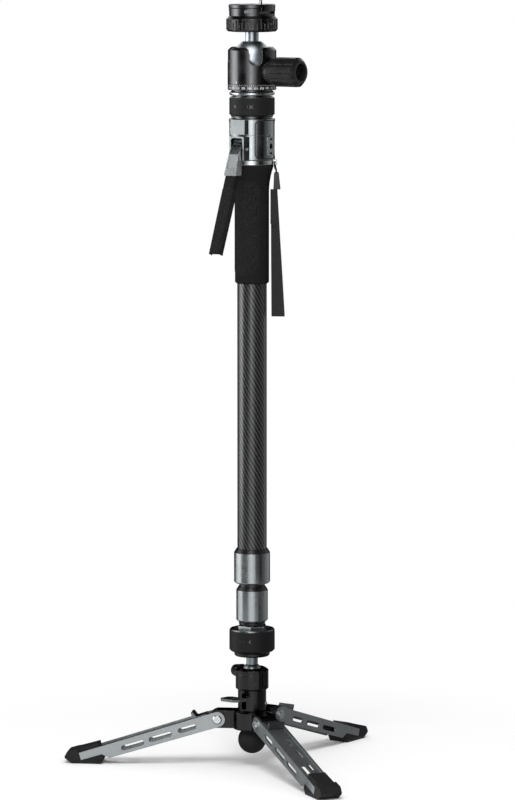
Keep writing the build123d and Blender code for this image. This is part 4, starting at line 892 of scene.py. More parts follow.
@dataclass(frozen=True)
class Print(Finish):
    """Marks printed or lasered into a finish, slightly uneven, and near-black painted shade for
    small recesses.
    """

    patches: float = 2500.0
    relief: float = 0.006 * MM

    def paint(self, graph: Graph) -> None:
        """Builds the material's nodes.

        Args:
            graph: The material's graph.
        """
        uneven = graph.noise(graph.place(), self.patches)
        graph.set(
            Base_Color=self.tint(graph, uneven),
            Roughness=self.gloss(graph, uneven, -0.05, 0.1),
            Normal=graph.bump(uneven, self.relief),
        )


BLACK = Anodised(
    "black_anodised", (0.105, 0.106, 0.108), (0.125, 0.126, 0.128), 0.27, worn=(0.3, 0.31, 0.32)
)
GLOSS_BLACK = Anodised(
    "gloss_black", (0.030, 0.030, 0.031), (0.038, 0.038, 0.039), 0.22, worn=(0.2, 0.2, 0.21)
)
CLAMP_BLACK = Anodised(
    "clamp_black", (0.040, 0.040, 0.041), (0.052, 0.052, 0.053), 0.32,
    worn=(0.42, 0.43, 0.44), wear=0.7,
)
GUNMETAL = Anodised(
    "gunmetal", (0.36, 0.385, 0.395), (0.40, 0.425, 0.435), 0.27, worn=(0.68, 0.71, 0.72)
)
DARK_METAL = Anodised(
    "dark_metal", (0.16, 0.17, 0.175), (0.19, 0.20, 0.205), 0.33, worn=(0.5, 0.52, 0.53)
)
TUBE_METAL = Anodised("tube_metal", (0.050, 0.050, 0.052), (0.065, 0.065, 0.067), 0.30)
BALL_METAL = Turned("ball_metal", (0.50, 0.55, 0.58), (0.54, 0.59, 0.62), 0.36)
STUD_METAL = Turned("stud_metal", (0.22, 0.25, 0.265), (0.26, 0.29, 0.305), 0.42)
BRIGHT = Turned("bright_metal", (0.60, 0.63, 0.64), (0.67, 0.70, 0.71), 0.27)
LEG_GREY = Brushed("leg_grey", (0.330, 0.352, 0.360), (0.370, 0.394, 0.402), 0.33, 0.95)
CARBON = Twill("carbon_twill", (0.012, 0.012, 0.013), (0.085, 0.087, 0.09), 0.33, 0.55)
HEAD_RING = Banded(
    "head_ring_rubber", grey(0.006), grey(0.009), 0.6, shine=0.25, ring="head_lock_ring"
)
FOOT_RING = Banded(
    "foot_ring_rubber", grey(0.005), grey(0.007), 0.55, shine=0.2,
    ring="foot_ring", foot_rim=0.7 * MM, top_rim=1.3 * MM, rim=(0.14, 0.15, 0.155),
)
BOOT_RUBBER = Rubber("boot_rubber", grey(0.010), grey(0.016), 0.6, grain=0.5 * MM)
GRIP = Rubber(
    "grip_rubber", grey(0.006), grey(0.010), 0.78, relief=0.04 * MM, grain=0.28 * MM, shine=0.12
)
PLASTIC = Rubber(
    "knob_plastic", (0.006, 0.006, 0.0065), (0.010, 0.010, 0.0105), 0.26,
    relief=0.004 * MM, grain=0.3 * MM, shine=0.4,
)
GRIT = Grit("grip_grit", grey(0.0035), grey(0.019), 0.82)
WEBBING = Weave("strap_weave", grey(0.008), grey(0.045), 0.75)
CORD = Braid("cord_braid", grey(0.006), grey(0.028), 0.6)
PRINT = Print("dial_print", (0.60, 0.61, 0.61), (0.74, 0.75, 0.75), 0.5)
RING_PRINT = Print("ring_print", grey(0.22), grey(0.28), 0.55)
# Near-black painted shade, laid in small recesses, in slots and round a recessed panel
RECESS_SHADE = Print("painted_recess_shade", grey(0.002), grey(0.003), 0.7)


class Wardrobe:
    """Makes each finish once, and puts finishes on pieces."""

    def __init__(self) -> None:
        """Starts with no material made."""
        self.made: dict[str, bpy.types.Material] = {}

    def material(self, finish: Finish) -> bpy.types.Material:
        """Gives the material of a finish, and makes it the first time.

        Args:
            finish: The finish.

        Returns:
            Its material.
        """
        if finish.name not in self.made:
            self.made[finish.name] = finish.material()
        return self.made[finish.name]

    def dress(self, finish: Finish, piece: bpy.types.Object) -> None:
        """Gives a piece a finish, in place of what it had."""
        piece.data.materials.clear()
        piece.data.materials.append(self.material(finish))

    def dress_node(self, finish: Finish, node: str) -> None:
        """Gives a CAD node a finish through its material slots.

        Args:
            finish: The finish.
            node: The CAD node's name.
        """
        thing = frame["nodes"][node]
        if not thing.material_slots:
            thing.data.materials.append(None)
        for slot in thing.material_slots:
            slot.material = self.material(finish)
        log.info("dressed %s in %s", node, finish.name)


class Shape(Enum):
    """What a printed mark is."""

    LINE = "line"
    SPOT = "spot"


@dataclass(frozen=True)
class Mark:
    """A small mark on a round wall, such as a print or a spot of painted shade.

    Attributes:
        azimuth: Its direction, in degrees.
        height: How far a line's start, or a spot's middle, is above the foot of the CAD node.
        width: Its width.
        length: A line's length, or a spot's height.
        lean: How far a line is turned about its start, in degrees.
        shape: What it is.
    """

    azimuth: float
    height: float
    width: float
    length: float
    lean: float = 0.0
    shape: Shape = Shape.LINE


def arrow(
    azimuth: float, height: float, width: float, length: float, way: int = 1
) -> tuple[Mark, ...]:
    """Gives an arrowhead.

    Args:
        azimuth: The direction of its point, in degrees.
        height: How far its point is above the foot of the CAD node.
        width: The width of its two lines.
        length: Their length.
        way: 1 or -1, for the side that it lies on.

    Returns:
        Its two lines.
    """
    return tuple(Mark(azimuth, height, width, length, way * lean) for lean in ARROW_LEANS)


def spot(azimuth: float, height: float, width: float, length: float) -> Mark:
    """Gives a round or oval spot."""
    return Mark(azimuth, height, width, length, shape=Shape.SPOT)


@dataclass
class SubAssembly:
    """A part of the monopod that is dressed as one.

    Attributes:
        finishes: Its CAD nodes by their finish.
        wardrobe: Where its finishes come from.
    """

    finishes: ClassVar[dict[Finish, tuple[str, ...]]] = {}
    wardrobe: Wardrobe

    def dress(self) -> None:
        """Gives the CAD nodes their finishes."""
        for finish, nodes in self.finishes.items():
            for node in nodes:
                self.wardrobe.dress_node(finish, node)

    def build(self) -> None:
        """Dresses the CAD nodes, which is all that some sub-assemblies need."""
        self.dress()

    def fit(
        self, piece: bpy.types.Object, body: str, finish: Finish, slot: str
    ) -> bpy.types.Object:
        """Puts a new piece on its body, gives it its finish, and logs it.

        Args:
            piece: The finished piece.
            body: The body that carries it.
            finish: Its finish.
            slot: The record's material slot; not used.

        Returns:
            The piece.
        """
        self.wardrobe.dress(finish, piece)
        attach(piece, body)
        faces = len(getattr(piece.data, "polygons", ()))
        log.info("made %s, %d faces, on %s", piece.name, faces, body)
        return piece

    def drawn(self, mark: Mark) -> bpy.types.Object:
        """Models a mark, lying in the XY plane.

        Args:
            mark: The mark.

        Returns:
            The mark, with a line's start or a spot's middle at the origin, and its edges bevelled.
        """
        deselect()
        if mark.shape is Shape.SPOT:
            bpy.ops.mesh.primitive_cylinder_add(vertices=ROUND_SIDES, radius=0.5, depth=1)
        else:
            bpy.ops.mesh.primitive_cube_add(size=1, location=(0, -mark.length / 2, 0))
        piece = bpy.context.object
        piece.scale = (mark.width, mark.length, 2 * SKIN)
        settle(piece)
        modify(piece, "BEVEL", width=PRINT_EDGE, segments=1, limit_method="ANGLE")
        piece.rotation_euler.z = radians(mark.lean)
        return settle(piece)

    def marks(
        self, name: str, node: str, finish: Finish, slot: str, marks: tuple[Mark, ...],
        wall: Optional[str] = None,
    ) -> None:
        """Puts small marks round a ring, as one piece: prints, and spots of painted shade.

        Args:
            name: The piece's name.
            node: The CAD node that carries it.
            finish: Its finish.
            slot: The record's material slot.
            marks: The marks.
            wall: The CAD node with the radius of the printed wall, where that is another one.
        """
        radius = wall_radius(wall or node)
        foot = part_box(node)[0].z
        made = [wrap(self.drawn(mark), radius, mark.azimuth, foot + mark.height) for mark in marks]
        self.fit(join(made, name), body_of(node), finish, slot)


@dataclass
class Head(SubAssembly):
    """The camera clamp, the ball head and its degree dial.

    The dial has a number at each third tick, set in a type of number_size and number_weight. The
    lock ring has two bars, two arrowheads point to point, a line, and three spots of painted shade
    for its recesses.
    """

    finishes = {
        BLACK: (
            "camera_plate", "clamp_base", "clamp_jaw", "head_housing", "scale_ring", "head_socket"
        ),
        CLAMP_BLACK: ("clamp_ring",),
        BRIGHT: ("camera_screw", "twist_pin", "head_disc"),
        DARK_METAL: ("clamp_latch",),
        BALL_METAL: ("ball_stem",),
        PLASTIC: ("lock_knob", "brake_shoe"),
        HEAD_RING: ("head_lock_ring",),
    }
    ticks: int = 72
    ticks_per_number: int = 3
    tick_width: float = 0.26 * MM
    tick_height: float = 1.2 * MM
    number_size: float = 3.22 * MM
    number_weight: float = 0.05 * MM
    top_gap: float = 0.2 * MM
    index_height: float = 2.4 * MM
    index_width: float = 0.8 * MM
    index_rise: float = 3.48 * MM
    index_azimuth: float = -93.8
    ring_lines: tuple[Mark, ...] = (
        Mark(-105.4, 11.2 * MM, 0.5 * MM, 2.6 * MM, 90.0),
        Mark(-105.4, 9.8 * MM, 0.5 * MM, 2.6 * MM, 90.0),
        *arrow(-56.0, 10.3 * MM, 0.34 * MM, 2.5 * MM),
        *arrow(-56.0, 10.3 * MM, 0.34 * MM, 2.5 * MM, -1),
        Mark(-65.4, 11.3 * MM, 0.2 * MM, 2.0 * MM),
    )
    ring_spots: tuple[Mark, ...] = (
        spot(-86.5, 10.3 * MM, 2.3 * MM, 2.4 * MM),
        spot(-82.2, 10.3 * MM, 2.3 * MM, 2.4 * MM),
        spot(-125.9, 10.8 * MM, 1.1 * MM, 1.1 * MM),
    )

    def number(self, text: str) -> bpy.types.Object:
        """Models one number of the dial, lying in the XY plane about the origin.

        Args:
            text: The digits.

        Returns:
            The number, as a mesh.
        """
        deselect()
        bpy.ops.object.text_add(location=(0, 0, -SKIN))
        label = bpy.context.object
        letters = label.data
        letters.body = text
        letters.size = self.number_size
        letters.align_x = "CENTER"
        letters.align_y = "CENTER"
        letters.extrude = SKIN
        letters.offset = self.number_weight
        letters.resolution_u = 3
        choose(label)
        bpy.ops.object.convert(target="MESH")
        return settle(label)

    def dial(self) -> None:
        """Makes the degree dial's lines and numbers on the scale ring."""
        radius = wall_radius("scale_ring")
        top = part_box("head_housing")[0].z - self.top_gap
        middle = (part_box("head_disc")[1].z + top) / 2
        lines, numbers = [], []
        for tick in range(self.ticks):
            azimuth = 360 * tick / self.ticks
            line = self.drawn(Mark(azimuth, 0.0, self.tick_width, self.tick_height))
            lines.append(wrap(line, radius, azimuth, top - self.top_gap))
            if tick % self.ticks_per_number == 0:
                number = self.number(str(round(azimuth)))
                numbers.append(wrap(number, radius, azimuth, middle))
        for made, name in ((lines, "dial_lines"), (numbers, "dial_numbers")):
            self.fit(join(made, name), body_of("scale_ring"), PRINT, "black_metal")

    def index(self) -> None:
        """Makes the index mark above the dial, on the head's wall."""
        line = Mark(self.index_azimuth, self.index_rise, self.index_width, self.index_height)
        node, wall = "head_housing", "scale_ring"
        self.marks("index_mark", node, PRINT, "black_metal", (line,), wall)

    def ring_marks(self) -> None:
        """Makes the lock ring's printed marks, and its spots of near-black painted shade for
        recesses.
        """
        ring = "head_lock_ring"
        self.marks("lock_ring_marks", ring, RING_PRINT, "rubber", self.ring_lines)
        # The spots are near-black painted shade of the ring's recesses
        self.marks("lock_ring_spots", ring, RECESS_SHADE, "rubber", self.ring_spots)

    def build(self) -> None:
        """Builds and dresses the head."""
        self.dress()
        self.dial()
        self.index()
        self.ring_marks()


@dataclass
class Column(SubAssembly):
    """The tubes with their collars, the release unit, the grip with its pads and the lever's spring.

    The grip's pad has bowed ends, which drop and rise by pad_top_drop and pad_foot_rise at its
    sides. The lever's pad runs from lever_top to lever_foot, round the lever's edges and down
    both of its sides, as deep as lever_sides say at its top and its foot. The panel sizes are
    those of the recesses in the housing's sides, and the slots are those beside its thread. The
    lever's spring lies spring_offset away from its pin.
    """

    finishes = {
        CARBON: ("upper_tube",),
        TUBE_METAL: ("middle_tube", "lower_tube"),
        GUNMETAL: (
            "housing_upper", "housing_lower", "lever_bracket", "upper_collar", "lower_collar",
            "accessory_plate",
        ),
        PLASTIC: (
            "upper_collar_cap", "lower_collar_caps", "middle_plug", "lower_plug", "release_rod"
        ),
        BRIGHT: ("lever_pin", "column_foot"),
        GRIP: ("grip_sleeve", "lever_grip"),
        FOOT_RING: ("foot_ring",),
        GLOSS_BLACK: ("pan_flange",),
    }
    pad_azimuth: float = radians(-90)
    pad_half_width: float = 20.0 * MM
    pad_top_gap: float = 15.5 * MM
    pad_foot_gap: float = 8.7 * MM
    pad_top_drop: float = 4.5 * MM
    pad_foot_rise: float = 8.0 * MM
    pad_corner: float = 7.0 * MM
    pad_rise: float = 0.4 * MM
    pad_rim: float = 0.14 * MM
    pad_faces: tuple[int, int] = (36, 72)
    sleeve_radius: float = 18.45 * MM
    flare_height: float = 30.0 * MM
    flare_radius: float = 84.9 * MM
    lever_depth: float = 10.2 * MM
    lever_edge: float = 1.6 * MM
    lever_sides: tuple[float, float] = (9.0 * MM, 7.4 * MM)
    lever_pad_start: float = 12.5 * MM
    lever_pad_gap: float = 0.5 * MM
    lever_pad_bow: float = 2.6 * MM
    lever_pad_rise: float = 0.3 * MM
    lever_pad_faces: tuple[int, int] = (30, 40)
    spring_offset: Vector = field(default_factory=lambda: Vector((0, 3.5, 8.0)) * MM)
    spring_wire: float = 0.9 * MM
    spring_radius: float = 2.6 * MM
    spring_turns: int = 11
    spring_length: float = 13.0 * MM
    spring_steps: int = 20
    spring_sides: int = 10
    socket_radius: float = 3.6 * MM
    lip_radius: float = 0.28 * MM
    lip_flatness: float = 0.8
    lip_faces: tuple[int, int] = (40, 8)
    slot_sink: float = 1.1 * MM
    slot_offset: float = 7.6 * MM
    slot_width: float = 2.1 * MM
    slot_length: float = 4.3 * MM
    slot_floor: float = 0.5 * MM
    slot_edge: float = 0.1 * MM
    housing_height: float = 43.9 * MM
    panel_half_width: float = 18.2 * MM
    panel_half_height: float = 21.0 * MM
    panel_corner: float = 5.5 * MM
    panel_floor: float = 24.4 * MM
    seam_width: float = 1.0 * MM
    seam_depth: float = 3 * SKIN
    seam_faces: tuple[int, int] = (2, 144)
    foot_ring_lines: tuple[Mark, ...] = arrow(-61.5, 13.3 * MM, 0.3 * MM, 2.4 * MM)
    foot_ring_spots: tuple[Mark, ...] = (
        spot(-86.5, 13.3 * MM, 2.6 * MM, 2.8 * MM),
        spot(-76.0, 13.3 * MM, 2.6 * MM, 2.8 * MM),
        spot(-110.7, 13.2 * MM, 1.8 * MM, 2.4 * MM),
    )
    collar_dots: tuple[Mark, ...] = (spot(-10.0, 30.4 * MM, 1.3 * MM, 1.3 * MM),)

    def __post_init__(self) -> None:
        """Reads the places of the sleeve and the lever from the frame."""
        self.sleeve_foot, self.sleeve_top = (corner.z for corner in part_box("grip_sleeve"))
        low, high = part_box("lever_grip")
        self.lever_top = Vector((0, high.y - self.lever_depth, high.z))
        self.lever_foot = Vector((0, low.y, low.z))
        self.lever_half_width = high.x

    def sleeve_at(self, height: float) -> float:
        """Gives the radius of the grip sleeve at a height."""
        above = max(0.0, height - self.sleeve_top + self.flare_height)
        return self.sleeve_radius + fall(self.flare_radius, above)

    def grip_pad_at(self, across: float, along: float) -> Vector:
        """Gives a point of the grip's pad, with closer rows at its ends.

        Args:
            across: How far across the pad it lies, from 0 to 1.
            along: How far up the pad it lies, from 0 to 1.

        Returns:
            The point, just under the sleeve's skin.
        """
        end = sin(pi / 2 * (2 * along - 1))
        pad_top = self.sleeve_top - self.pad_top_gap
        pad_foot = self.sleeve_foot + self.pad_foot_gap
        from_end = (1 - abs(end)) * (pad_top - pad_foot) / 2
        narrower = fall(self.pad_corner, max(0.0, self.pad_corner - from_end))
        arc = (2 * across - 1) * (self.pad_half_width - narrower)
        bow = (arc / self.pad_half_width) ** 2
        top = pad_top - self.pad_top_drop * bow
        foot = pad_foot + self.pad_foot_rise * bow
        height = foot + (top - foot) * (end + 1) / 2
        turn = self.pad_azimuth + arc / self.sleeve_radius
        return around(self.sleeve_at(height) - SKIN, turn, height)

    def grip_pad(self) -> None:
        """Makes the gritty pad on the grip's front, with bowed ends and rounded corners."""
        pad = laid(*self.pad_faces, self.grip_pad_at, "grip_pad")
        thicken(pad, self.pad_rise + SKIN, 1.0, self.pad_rim)
        self.fit(smooth(pad), body_of("grip_sleeve"), GRIT, "grip_rubber")

    def lever_pad_at(self, across: float, along: float) -> Vector:
        """Gives a point of the lever's pad.

        Args:
            across: How far round the lever it lies, from 0 at one side to 1 at the other.
            along: How far down the lever it lies, from 0 to 1.

        Returns:
            The point, just under the lever's skin.
        """
        run = self.lever_foot - self.lever_top
        down = run.normalized()
        out = Vector((0, down.z, -down.y))
        half, edge = self.lever_half_width, self.lever_edge
        top_side, foot_side = self.lever_sides
        side = top_side + (foot_side - top_side) * along
        path = (
            (half, -side), (half, -edge), (half - edge, 0.0),
            (edge - half, 0.0), (-half, -edge), (-half, -side),
        )
        legs = len(path) - 1
        leg = min(int(across * legs + HAIR), legs - 1)
        share = across * legs - leg
        x, depth = (start + (end - start) * share for start, end in zip(path[leg], path[leg + 1]))
        length = run.length - self.lever_pad_start - self.lever_pad_gap
        bow = self.lever_pad_bow * (x / half) ** 2 * (1 - along)
        at = self.lever_pad_start + bow + (length - bow) * along
        return self.lever_top + down * at + out * (depth - SKIN) + Vector((x, 0, 0))

    def lever_pad(self) -> None:
        """Makes the gritty pad that wraps the lever's front and both of its sides."""
        pad = laid(*self.lever_pad_faces, self.lever_pad_at, "lever_pad")
        thicken(pad, self.lever_pad_rise + SKIN, 1.0)
        self.fit(smooth(pad), body_of("lever_grip"), GRIT, "grip_rubber")

    def spring(self) -> None:
        """Makes the lever's return spring, which lies across behind the bracket's window."""
        deselect()
        bpy.ops.mesh.primitive_circle_add(
            vertices=self.spring_sides, radius=self.spring_wire / 2, fill_type="NOTHING"
        )
        coil = bpy.context.object
        for point in coil.data.vertices:
            point.co.y += self.spring_radius
        modify(
            coil, "SCREW", axis="X", angle=2 * pi, steps=self.spring_steps,
            render_steps=self.spring_steps, iterations=self.spring_turns,
            screw_offset=self.spring_length / self.spring_turns,
        )
        edit_all(coil)
        bpy.ops.mesh.fill_holes(sides=0)
        face_out(coil)
        start = Vector((self.spring_length / 2, 0, 0))
        coil.location = middle_of("lever_pin") + self.spring_offset - start
        smooth(settle(join([coil], "lever_spring")))
        self.fit(coil, body_of("housing_upper"), DARK_METAL, "bright_metal")

    def panel_seam(self, side: int) -> bpy.types.Object:
        """Lays the dark line of painted shade round the floor of one of the housing's side panels.

        Args:
            side: 1 for the panel with the accessory plate, -1 for the one behind.

        Returns:
            The line, as a closed thin band.
        """
        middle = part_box("housing_upper")[1].z - self.housing_height / 2
        wide = self.panel_half_width - self.panel_corner
        tall = self.panel_half_height - self.panel_corner
        bend = self.panel_corner - self.seam_width / 2
        hubs = [Vector(hub) for hub in ((wide, -tall), (wide, tall), (-wide, tall), (-wide, -tall))]
        ways = [Vector(way) for way in ((1, 0), (0, 1), (-1, 0), (0, -1))]
        runs = [2 * tall, bend * pi / 2, 2 * wide, bend * pi / 2] * 2

        def place(across: float, along: float) -> Vector:
            """Gives a point of the line.

            Args:
                across: How far across the line it lies, from 0 to 1.
                along: How far round the panel it lies, from 0 to 1.

            Returns:
                The point, on the panel's round floor.
            """
            rest = along * sum(runs)
            run = 0
            while run < len(runs) - 1 and rest > runs[run]:
                rest -= runs[run]
                run += 1
            quarter, in_bend = divmod(run, 2)
            hub = hubs[(quarter + in_bend) % 4]
            out, ahead = ways[quarter], ways[(quarter + 1) % 4]
            turn, slid = (rest / bend, 0.0) if in_bend else (0.0, rest)
            reach = bend + (across - 0.5) * self.seam_width
            at = hub + reach * (cos(turn) * out + sin(turn) * ahead) + slid * ahead
            depth = self.panel_floor - fall(self.panel_floor, at.x)
            return Vector((side * depth, side * at.x, middle + at.y))

        # A near-black line where shade falls round the panel's recessed floor: painted shade
        shade_line = laid(*self.seam_faces, place, "panel_seam")
        face_out(shade_line)
        thicken(shade_line, self.seam_depth, 0.0)
        return shade_line

    def panel_seams(self) -> None:
        """Lays the lines of painted shade round both side panels."""
        shade_lines = join([self.panel_seam(side) for side in (-1, 1)], "housing_panel_shade_lines")
        self.fit(shade_lines, body_of("housing_upper"), RECESS_SHADE, "gunmetal")

    def accessory_socket(self) -> None:
        """Sets the bright lip of the accessory thread, and a near-black piece of painted shade on
        the floor of each of its two slots.
        """
        middle = middle_of("accessory_plate")
        middle.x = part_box("accessory_plate")[1].x
        body = body_of("accessory_plate")
        facing = (0, pi / 2, 0)
        deselect()
        around_lip, round_lip = self.lip_faces
        bpy.ops.mesh.primitive_torus_add(
            major_segments=around_lip, minor_segments=round_lip, major_radius=self.socket_radius,
            minor_radius=self.lip_radius, location=middle, rotation=facing,
        )
        lip = bpy.context.object
        lip.scale.z = self.lip_flatness
        self.fit(settle(join([lip], "accessory_socket_edge")), body, BRIGHT, "gunmetal")
        # Near-black pieces on the floor of each slot are painted shade
        shade_floors = []
        for side in (-1, 1):
            deselect()
            bpy.ops.mesh.primitive_cylinder_add(
                vertices=ROUND_SIDES, radius=0.5, depth=1, rotation=facing,
                location=middle + Vector((-self.slot_sink, 0, side * self.slot_offset)),
            )
            floor = bpy.context.object
            floor.scale = (self.slot_width, self.slot_length, self.slot_floor)
            settle(floor)
            modify(floor, "BEVEL", width=self.slot_edge, segments=1, limit_method="ANGLE")
            shade_floors.append(floor)
        self.fit(join(shade_floors, "accessory_slot_shade_floors"), body, RECESS_SHADE, "gunmetal")

    def ring_marks(self) -> None:
        """Makes the foot ring's arrowhead, and its spots and the lower collar's dot in near-black
        painted shade for recesses.
        """
        ring = "foot_ring"
        self.marks("foot_ring_marks", ring, RING_PRINT, "rubber", self.foot_ring_lines)
        # The spots and the dot are near-black painted shade of small recesses
        self.marks("foot_ring_spots", ring, RECESS_SHADE, "rubber", self.foot_ring_spots)
        self.marks("collar_dot", "lower_collar", RECESS_SHADE, "gunmetal", self.collar_dots)

    def build(self) -> None:
        """Builds and dresses the column."""
        self.dress()
        self.accessory_socket()
        self.panel_seams()
        self.grip_pad()
        self.lever_pad()
        self.spring()
        self.ring_marks()


@dataclass
class Strap(SubAssembly):
    """The wrist strap: a thin cord through the ring's eye, a buckle, and the folded webbing below.

    It hangs in the upright plane at its azimuth. The edges are how far out from the column's axis
    the webbing and its keeper reach, inside and outside, at their upper and lower ends.
    """

    finishes = {PLASTIC: ("strap_buckle",), BRIGHT: ("strap_ring",)}
    azimuth: float = radians(30)
    eye_distance: float = 24.9 * MM
    eye_half_width: float = 2.6 * MM
    over_eye: float = 0.3 * MM
    spread: float = 4.9 * MM
    drop: float = 6.0 * MM
    buckle_middle: float = 26.4 * MM
    tail_spread: float = 1.3 * MM
    tail: float = 2.0 * MM
    lift: float = 2.6 * MM
    cord_length: float = 38.0 * MM
    cord_diameter: float = 1.6 * MM
    layer: float = 1.3 * MM
    space: float = 0.5 * MM
    cloth: float = 1.15 * MM
    cloth_rim: float = 0.25 * MM
    ripple: float = 0.30 * MM
    ripple_across: float = 3.2 * MM
    ripple_along: float = 21.0 * MM
    width: float = 14.4 * MM
    flat_length: float = 275.7 * MM
    flat_area: float = 0.00295
    band_faces: tuple[int, int] = (12, 150)
    top_edges: tuple[float, float] = (20.4 * MM, 27.4 * MM)
    foot_edges: tuple[float, float] = (21.2 * MM, 35.6 * MM)
    keeper_edges: tuple[float, float] = (20.2 * MM, 26.4 * MM)
    keeper_length: float = 39.0 * MM
    keeper_taper: float = 1.6 * MM
    keeper_taper_share: float = 0.07
    keeper_faces: tuple[int, int] = (8, 48)
    stitch: float = 2.2 * MM
    stitch_pitch: float = 3.4 * MM
    stitch_start: float = 2.0 * MM
    stitch_margin: float = 5.0 * MM
    stitch_inset: float = 0.9 * MM
    stitch_rise: float = 0.1 * MM
    thread_radius: float = 0.18 * MM
    thread_rim: float = 0.1 * MM
    thread_sides: int = 8

    def point(self, out: float, across: float, height: float) -> Vector:
        """Gives a point near the strap's plane.

        Args:
            out: How far out from the column's axis it lies.
            across: How far to the side of the plane it lies.
            height: Its height.

        Returns:
            The point.
        """
        outward = Vector((cos(self.azimuth), sin(self.azimuth), 0))
        sideways = Vector((-outward.y, outward.x, 0))
        return outward * out + sideways * across + Vector((0, 0, height))

    def cord(self) -> None:
        """Makes the cord loop, from the buckle up through the eye and down again."""
        eye = middle_of("strap_ring").z
        buckle_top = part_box("strap_buckle")[1].z
        side = [
            (self.buckle_middle, self.tail_spread, buckle_top - self.tail),
            (self.buckle_middle, self.tail_spread, buckle_top + self.lift),
            (self.eye_distance, self.spread, eye - self.drop),
            (self.eye_distance, self.spread, eye + self.over_eye),
            (self.eye_distance, self.eye_half_width, eye),
        ]
        knots = [self.point(*knot) for knot in side]
        knots += [self.point(out, -across, height) for out, across, height in reversed(side)]
        curve = bpy.data.curves.new("strap_cord_loop", "CURVE")
        curve.dimensions = "3D"
        curve.bevel_depth = self.cord_diameter / 2
        curve.bevel_resolution = 5
        curve.resolution_u = 12
        curve.use_fill_caps = True
        line = curve.splines.new("NURBS")
        line.points.add(len(knots) - 1)
        for knot, place in zip(line.points, knots):
            knot.co = (*place, 1.0)
        line.order_u = 3
        line.use_endpoint_u = True
        loop = bpy.data.objects.new("strap_cord_loop", curve)
        bpy.context.scene.collection.objects.link(loop)
        self.fit(loop, body_of("strap_cord"), CORD, "webbing")
        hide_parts("strap_cord")
        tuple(knots[0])

    def webbing(self) -> None:
        """Makes the folded webbing, its keeper and the stitches that hold the two."""
        low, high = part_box("strap_webbing")
        turn = (self.space + self.layer) / 2
        fold = low.z + self.layer / 2 + turn
        straight = high.z - fold
        whole = 2 * straight + pi * turn

        def place(across: float, along: float) -> Vector:
            """Gives a point of the webbing.

            Args:
                across: How far across the webbing it lies, from 0 to 1.
                along: How far along it lies, down one layer and up the other, from 0 to 1.

            Returns:
                The point, in the middle of its layer.
            """
            run = along * whole
            if run <= straight:
                aside, height = -turn, high.z - run
            elif run >= whole - straight:
                aside, height = turn, high.z - (whole - run)
            else:
                angle = (run - straight) / turn
                aside, height = -turn * cos(angle), fold - turn * sin(angle)
            down = high.z - height
            share = down / (high.z - low.z)
            inner, outer = (
                top + (foot - top) * share for top, foot in zip(self.top_edges, self.foot_edges)
            )
            in_band = (outer - inner) * across
            hang = self.ripple * sin(pi * down / straight)
            phase = in_band / self.ripple_across + down / self.ripple_along
            return self.point(inner + in_band, aside + hang * sin(phase), height)

        band = laid(*self.band_faces, place, "strap_band")
        measure_uv(band, self.width, whole)
        thicken(band, self.cloth, 0.0, self.cloth_rim)
        self.fit(smooth(band), body_of("strap_webbing"), WEBBING, "webbing")
        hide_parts("strap_webbing")
        keeper = self.keeper(high.z, turn)
        stitches = self.stitches(high.z, turn)

    def keeper(self, top: float, turn: float) -> bpy.types.Object:
        """Makes the narrow flap sewn over the webbing's upper end.

        Args:
            top: The height of its upper end.
            turn: How far the webbing's front layer stands from the strap's middle plane.

        Returns:
            The flap.
        """
        inner, outer = self.keeper_edges

        def place(across: float, along: float) -> Vector:
            """Gives a point of the flap.

            Args:
                across: How far across the flap it lies, from 0 to 1.
                along: How far down the flap it lies, from 0 to 1.

            Returns:
                The point, in the middle of the flap's thickness.
            """
            near_end = max(0.0, 1 + (along - 1) / self.keeper_taper_share)
            end = self.keeper_taper * near_end ** 2
            out = inner + end + (outer - inner - 2 * end) * across
            return self.point(out, -turn - self.layer, top - self.keeper_length * along)

        flap = laid(*self.keeper_faces, place, "strap_keeper")
        measure_uv(flap, outer - inner, self.keeper_length)
        thicken(flap, self.cloth, 0.0, self.cloth_rim)
        return self.fit(smooth(flap), body_of("strap_webbing"), WEBBING, "webbing")

    def stitches(self, top: float, turn: float) -> bpy.types.Object:
        """Sews the flap to the webbing with a row of stitches along each of its sides.

        Args:
            top: The height of the flap's upper end.
            turn: How far the webbing's front layer stands from the strap's middle plane.

        Returns:
            The stitches, as one piece.
        """
        inner, outer = self.keeper_edges
        front = -turn - self.layer - self.cloth / 2 - self.stitch_rise
        rows = int((self.keeper_length - self.stitch_margin) / self.stitch_pitch)
        made = []
        for out in (inner + self.stitch_inset, outer - self.stitch_inset):
            for row in range(rows):
                height = top - self.stitch_start - row * self.stitch_pitch
                deselect()
                bpy.ops.mesh.primitive_cylinder_add(
                    vertices=self.thread_sides, radius=self.thread_radius, depth=self.stitch,
                    location=self.point(out, front, height - self.stitch / 2),
                )
                thread = settle(bpy.context.object)
                modify(thread, "BEVEL", width=self.thread_rim, segments=2, limit_method="ANGLE")
                made.append(thread)
        sewn = smooth(join(made, "strap_stitches"))
        return self.fit(sewn, body_of("strap_webbing"), CORD, "webbing")

    def build(self) -> None:
        """Builds and dresses the strap."""
        self.dress()
        self.cord()
        self.webbing()


@dataclass
class Base(SubAssembly):
    """The tilting head at the foot of the column, its pedal, the hub and the three folding feet."""

    finishes = {
        GLOSS_BLACK: ("base_head", "base_column", "hub", "ball_seat", "brake_plunger"),
        PLASTIC: ("clamp_knob",),
        STUD_METAL: ("base_ball_stem",),
        BRIGHT: ("pedal_pin", "leg_bolts"),
        BOOT_RUBBER: ("ball_foot", "leg_boot_a", "leg_boot_b", "leg_boot_c"),
        DARK_METAL: ("pedal", "leg_lock_a", "leg_lock_b", "leg_lock_c"),
        **{
            replace(LEG_GREY, name=f"leg_grey_{letter}", turn=-radians(azimuth)):
                (f"leg_channel_{letter}",)
            for letter, azimuth in (("a", 90.0), ("b", 210.0), ("c", 330.0))
        },
    }


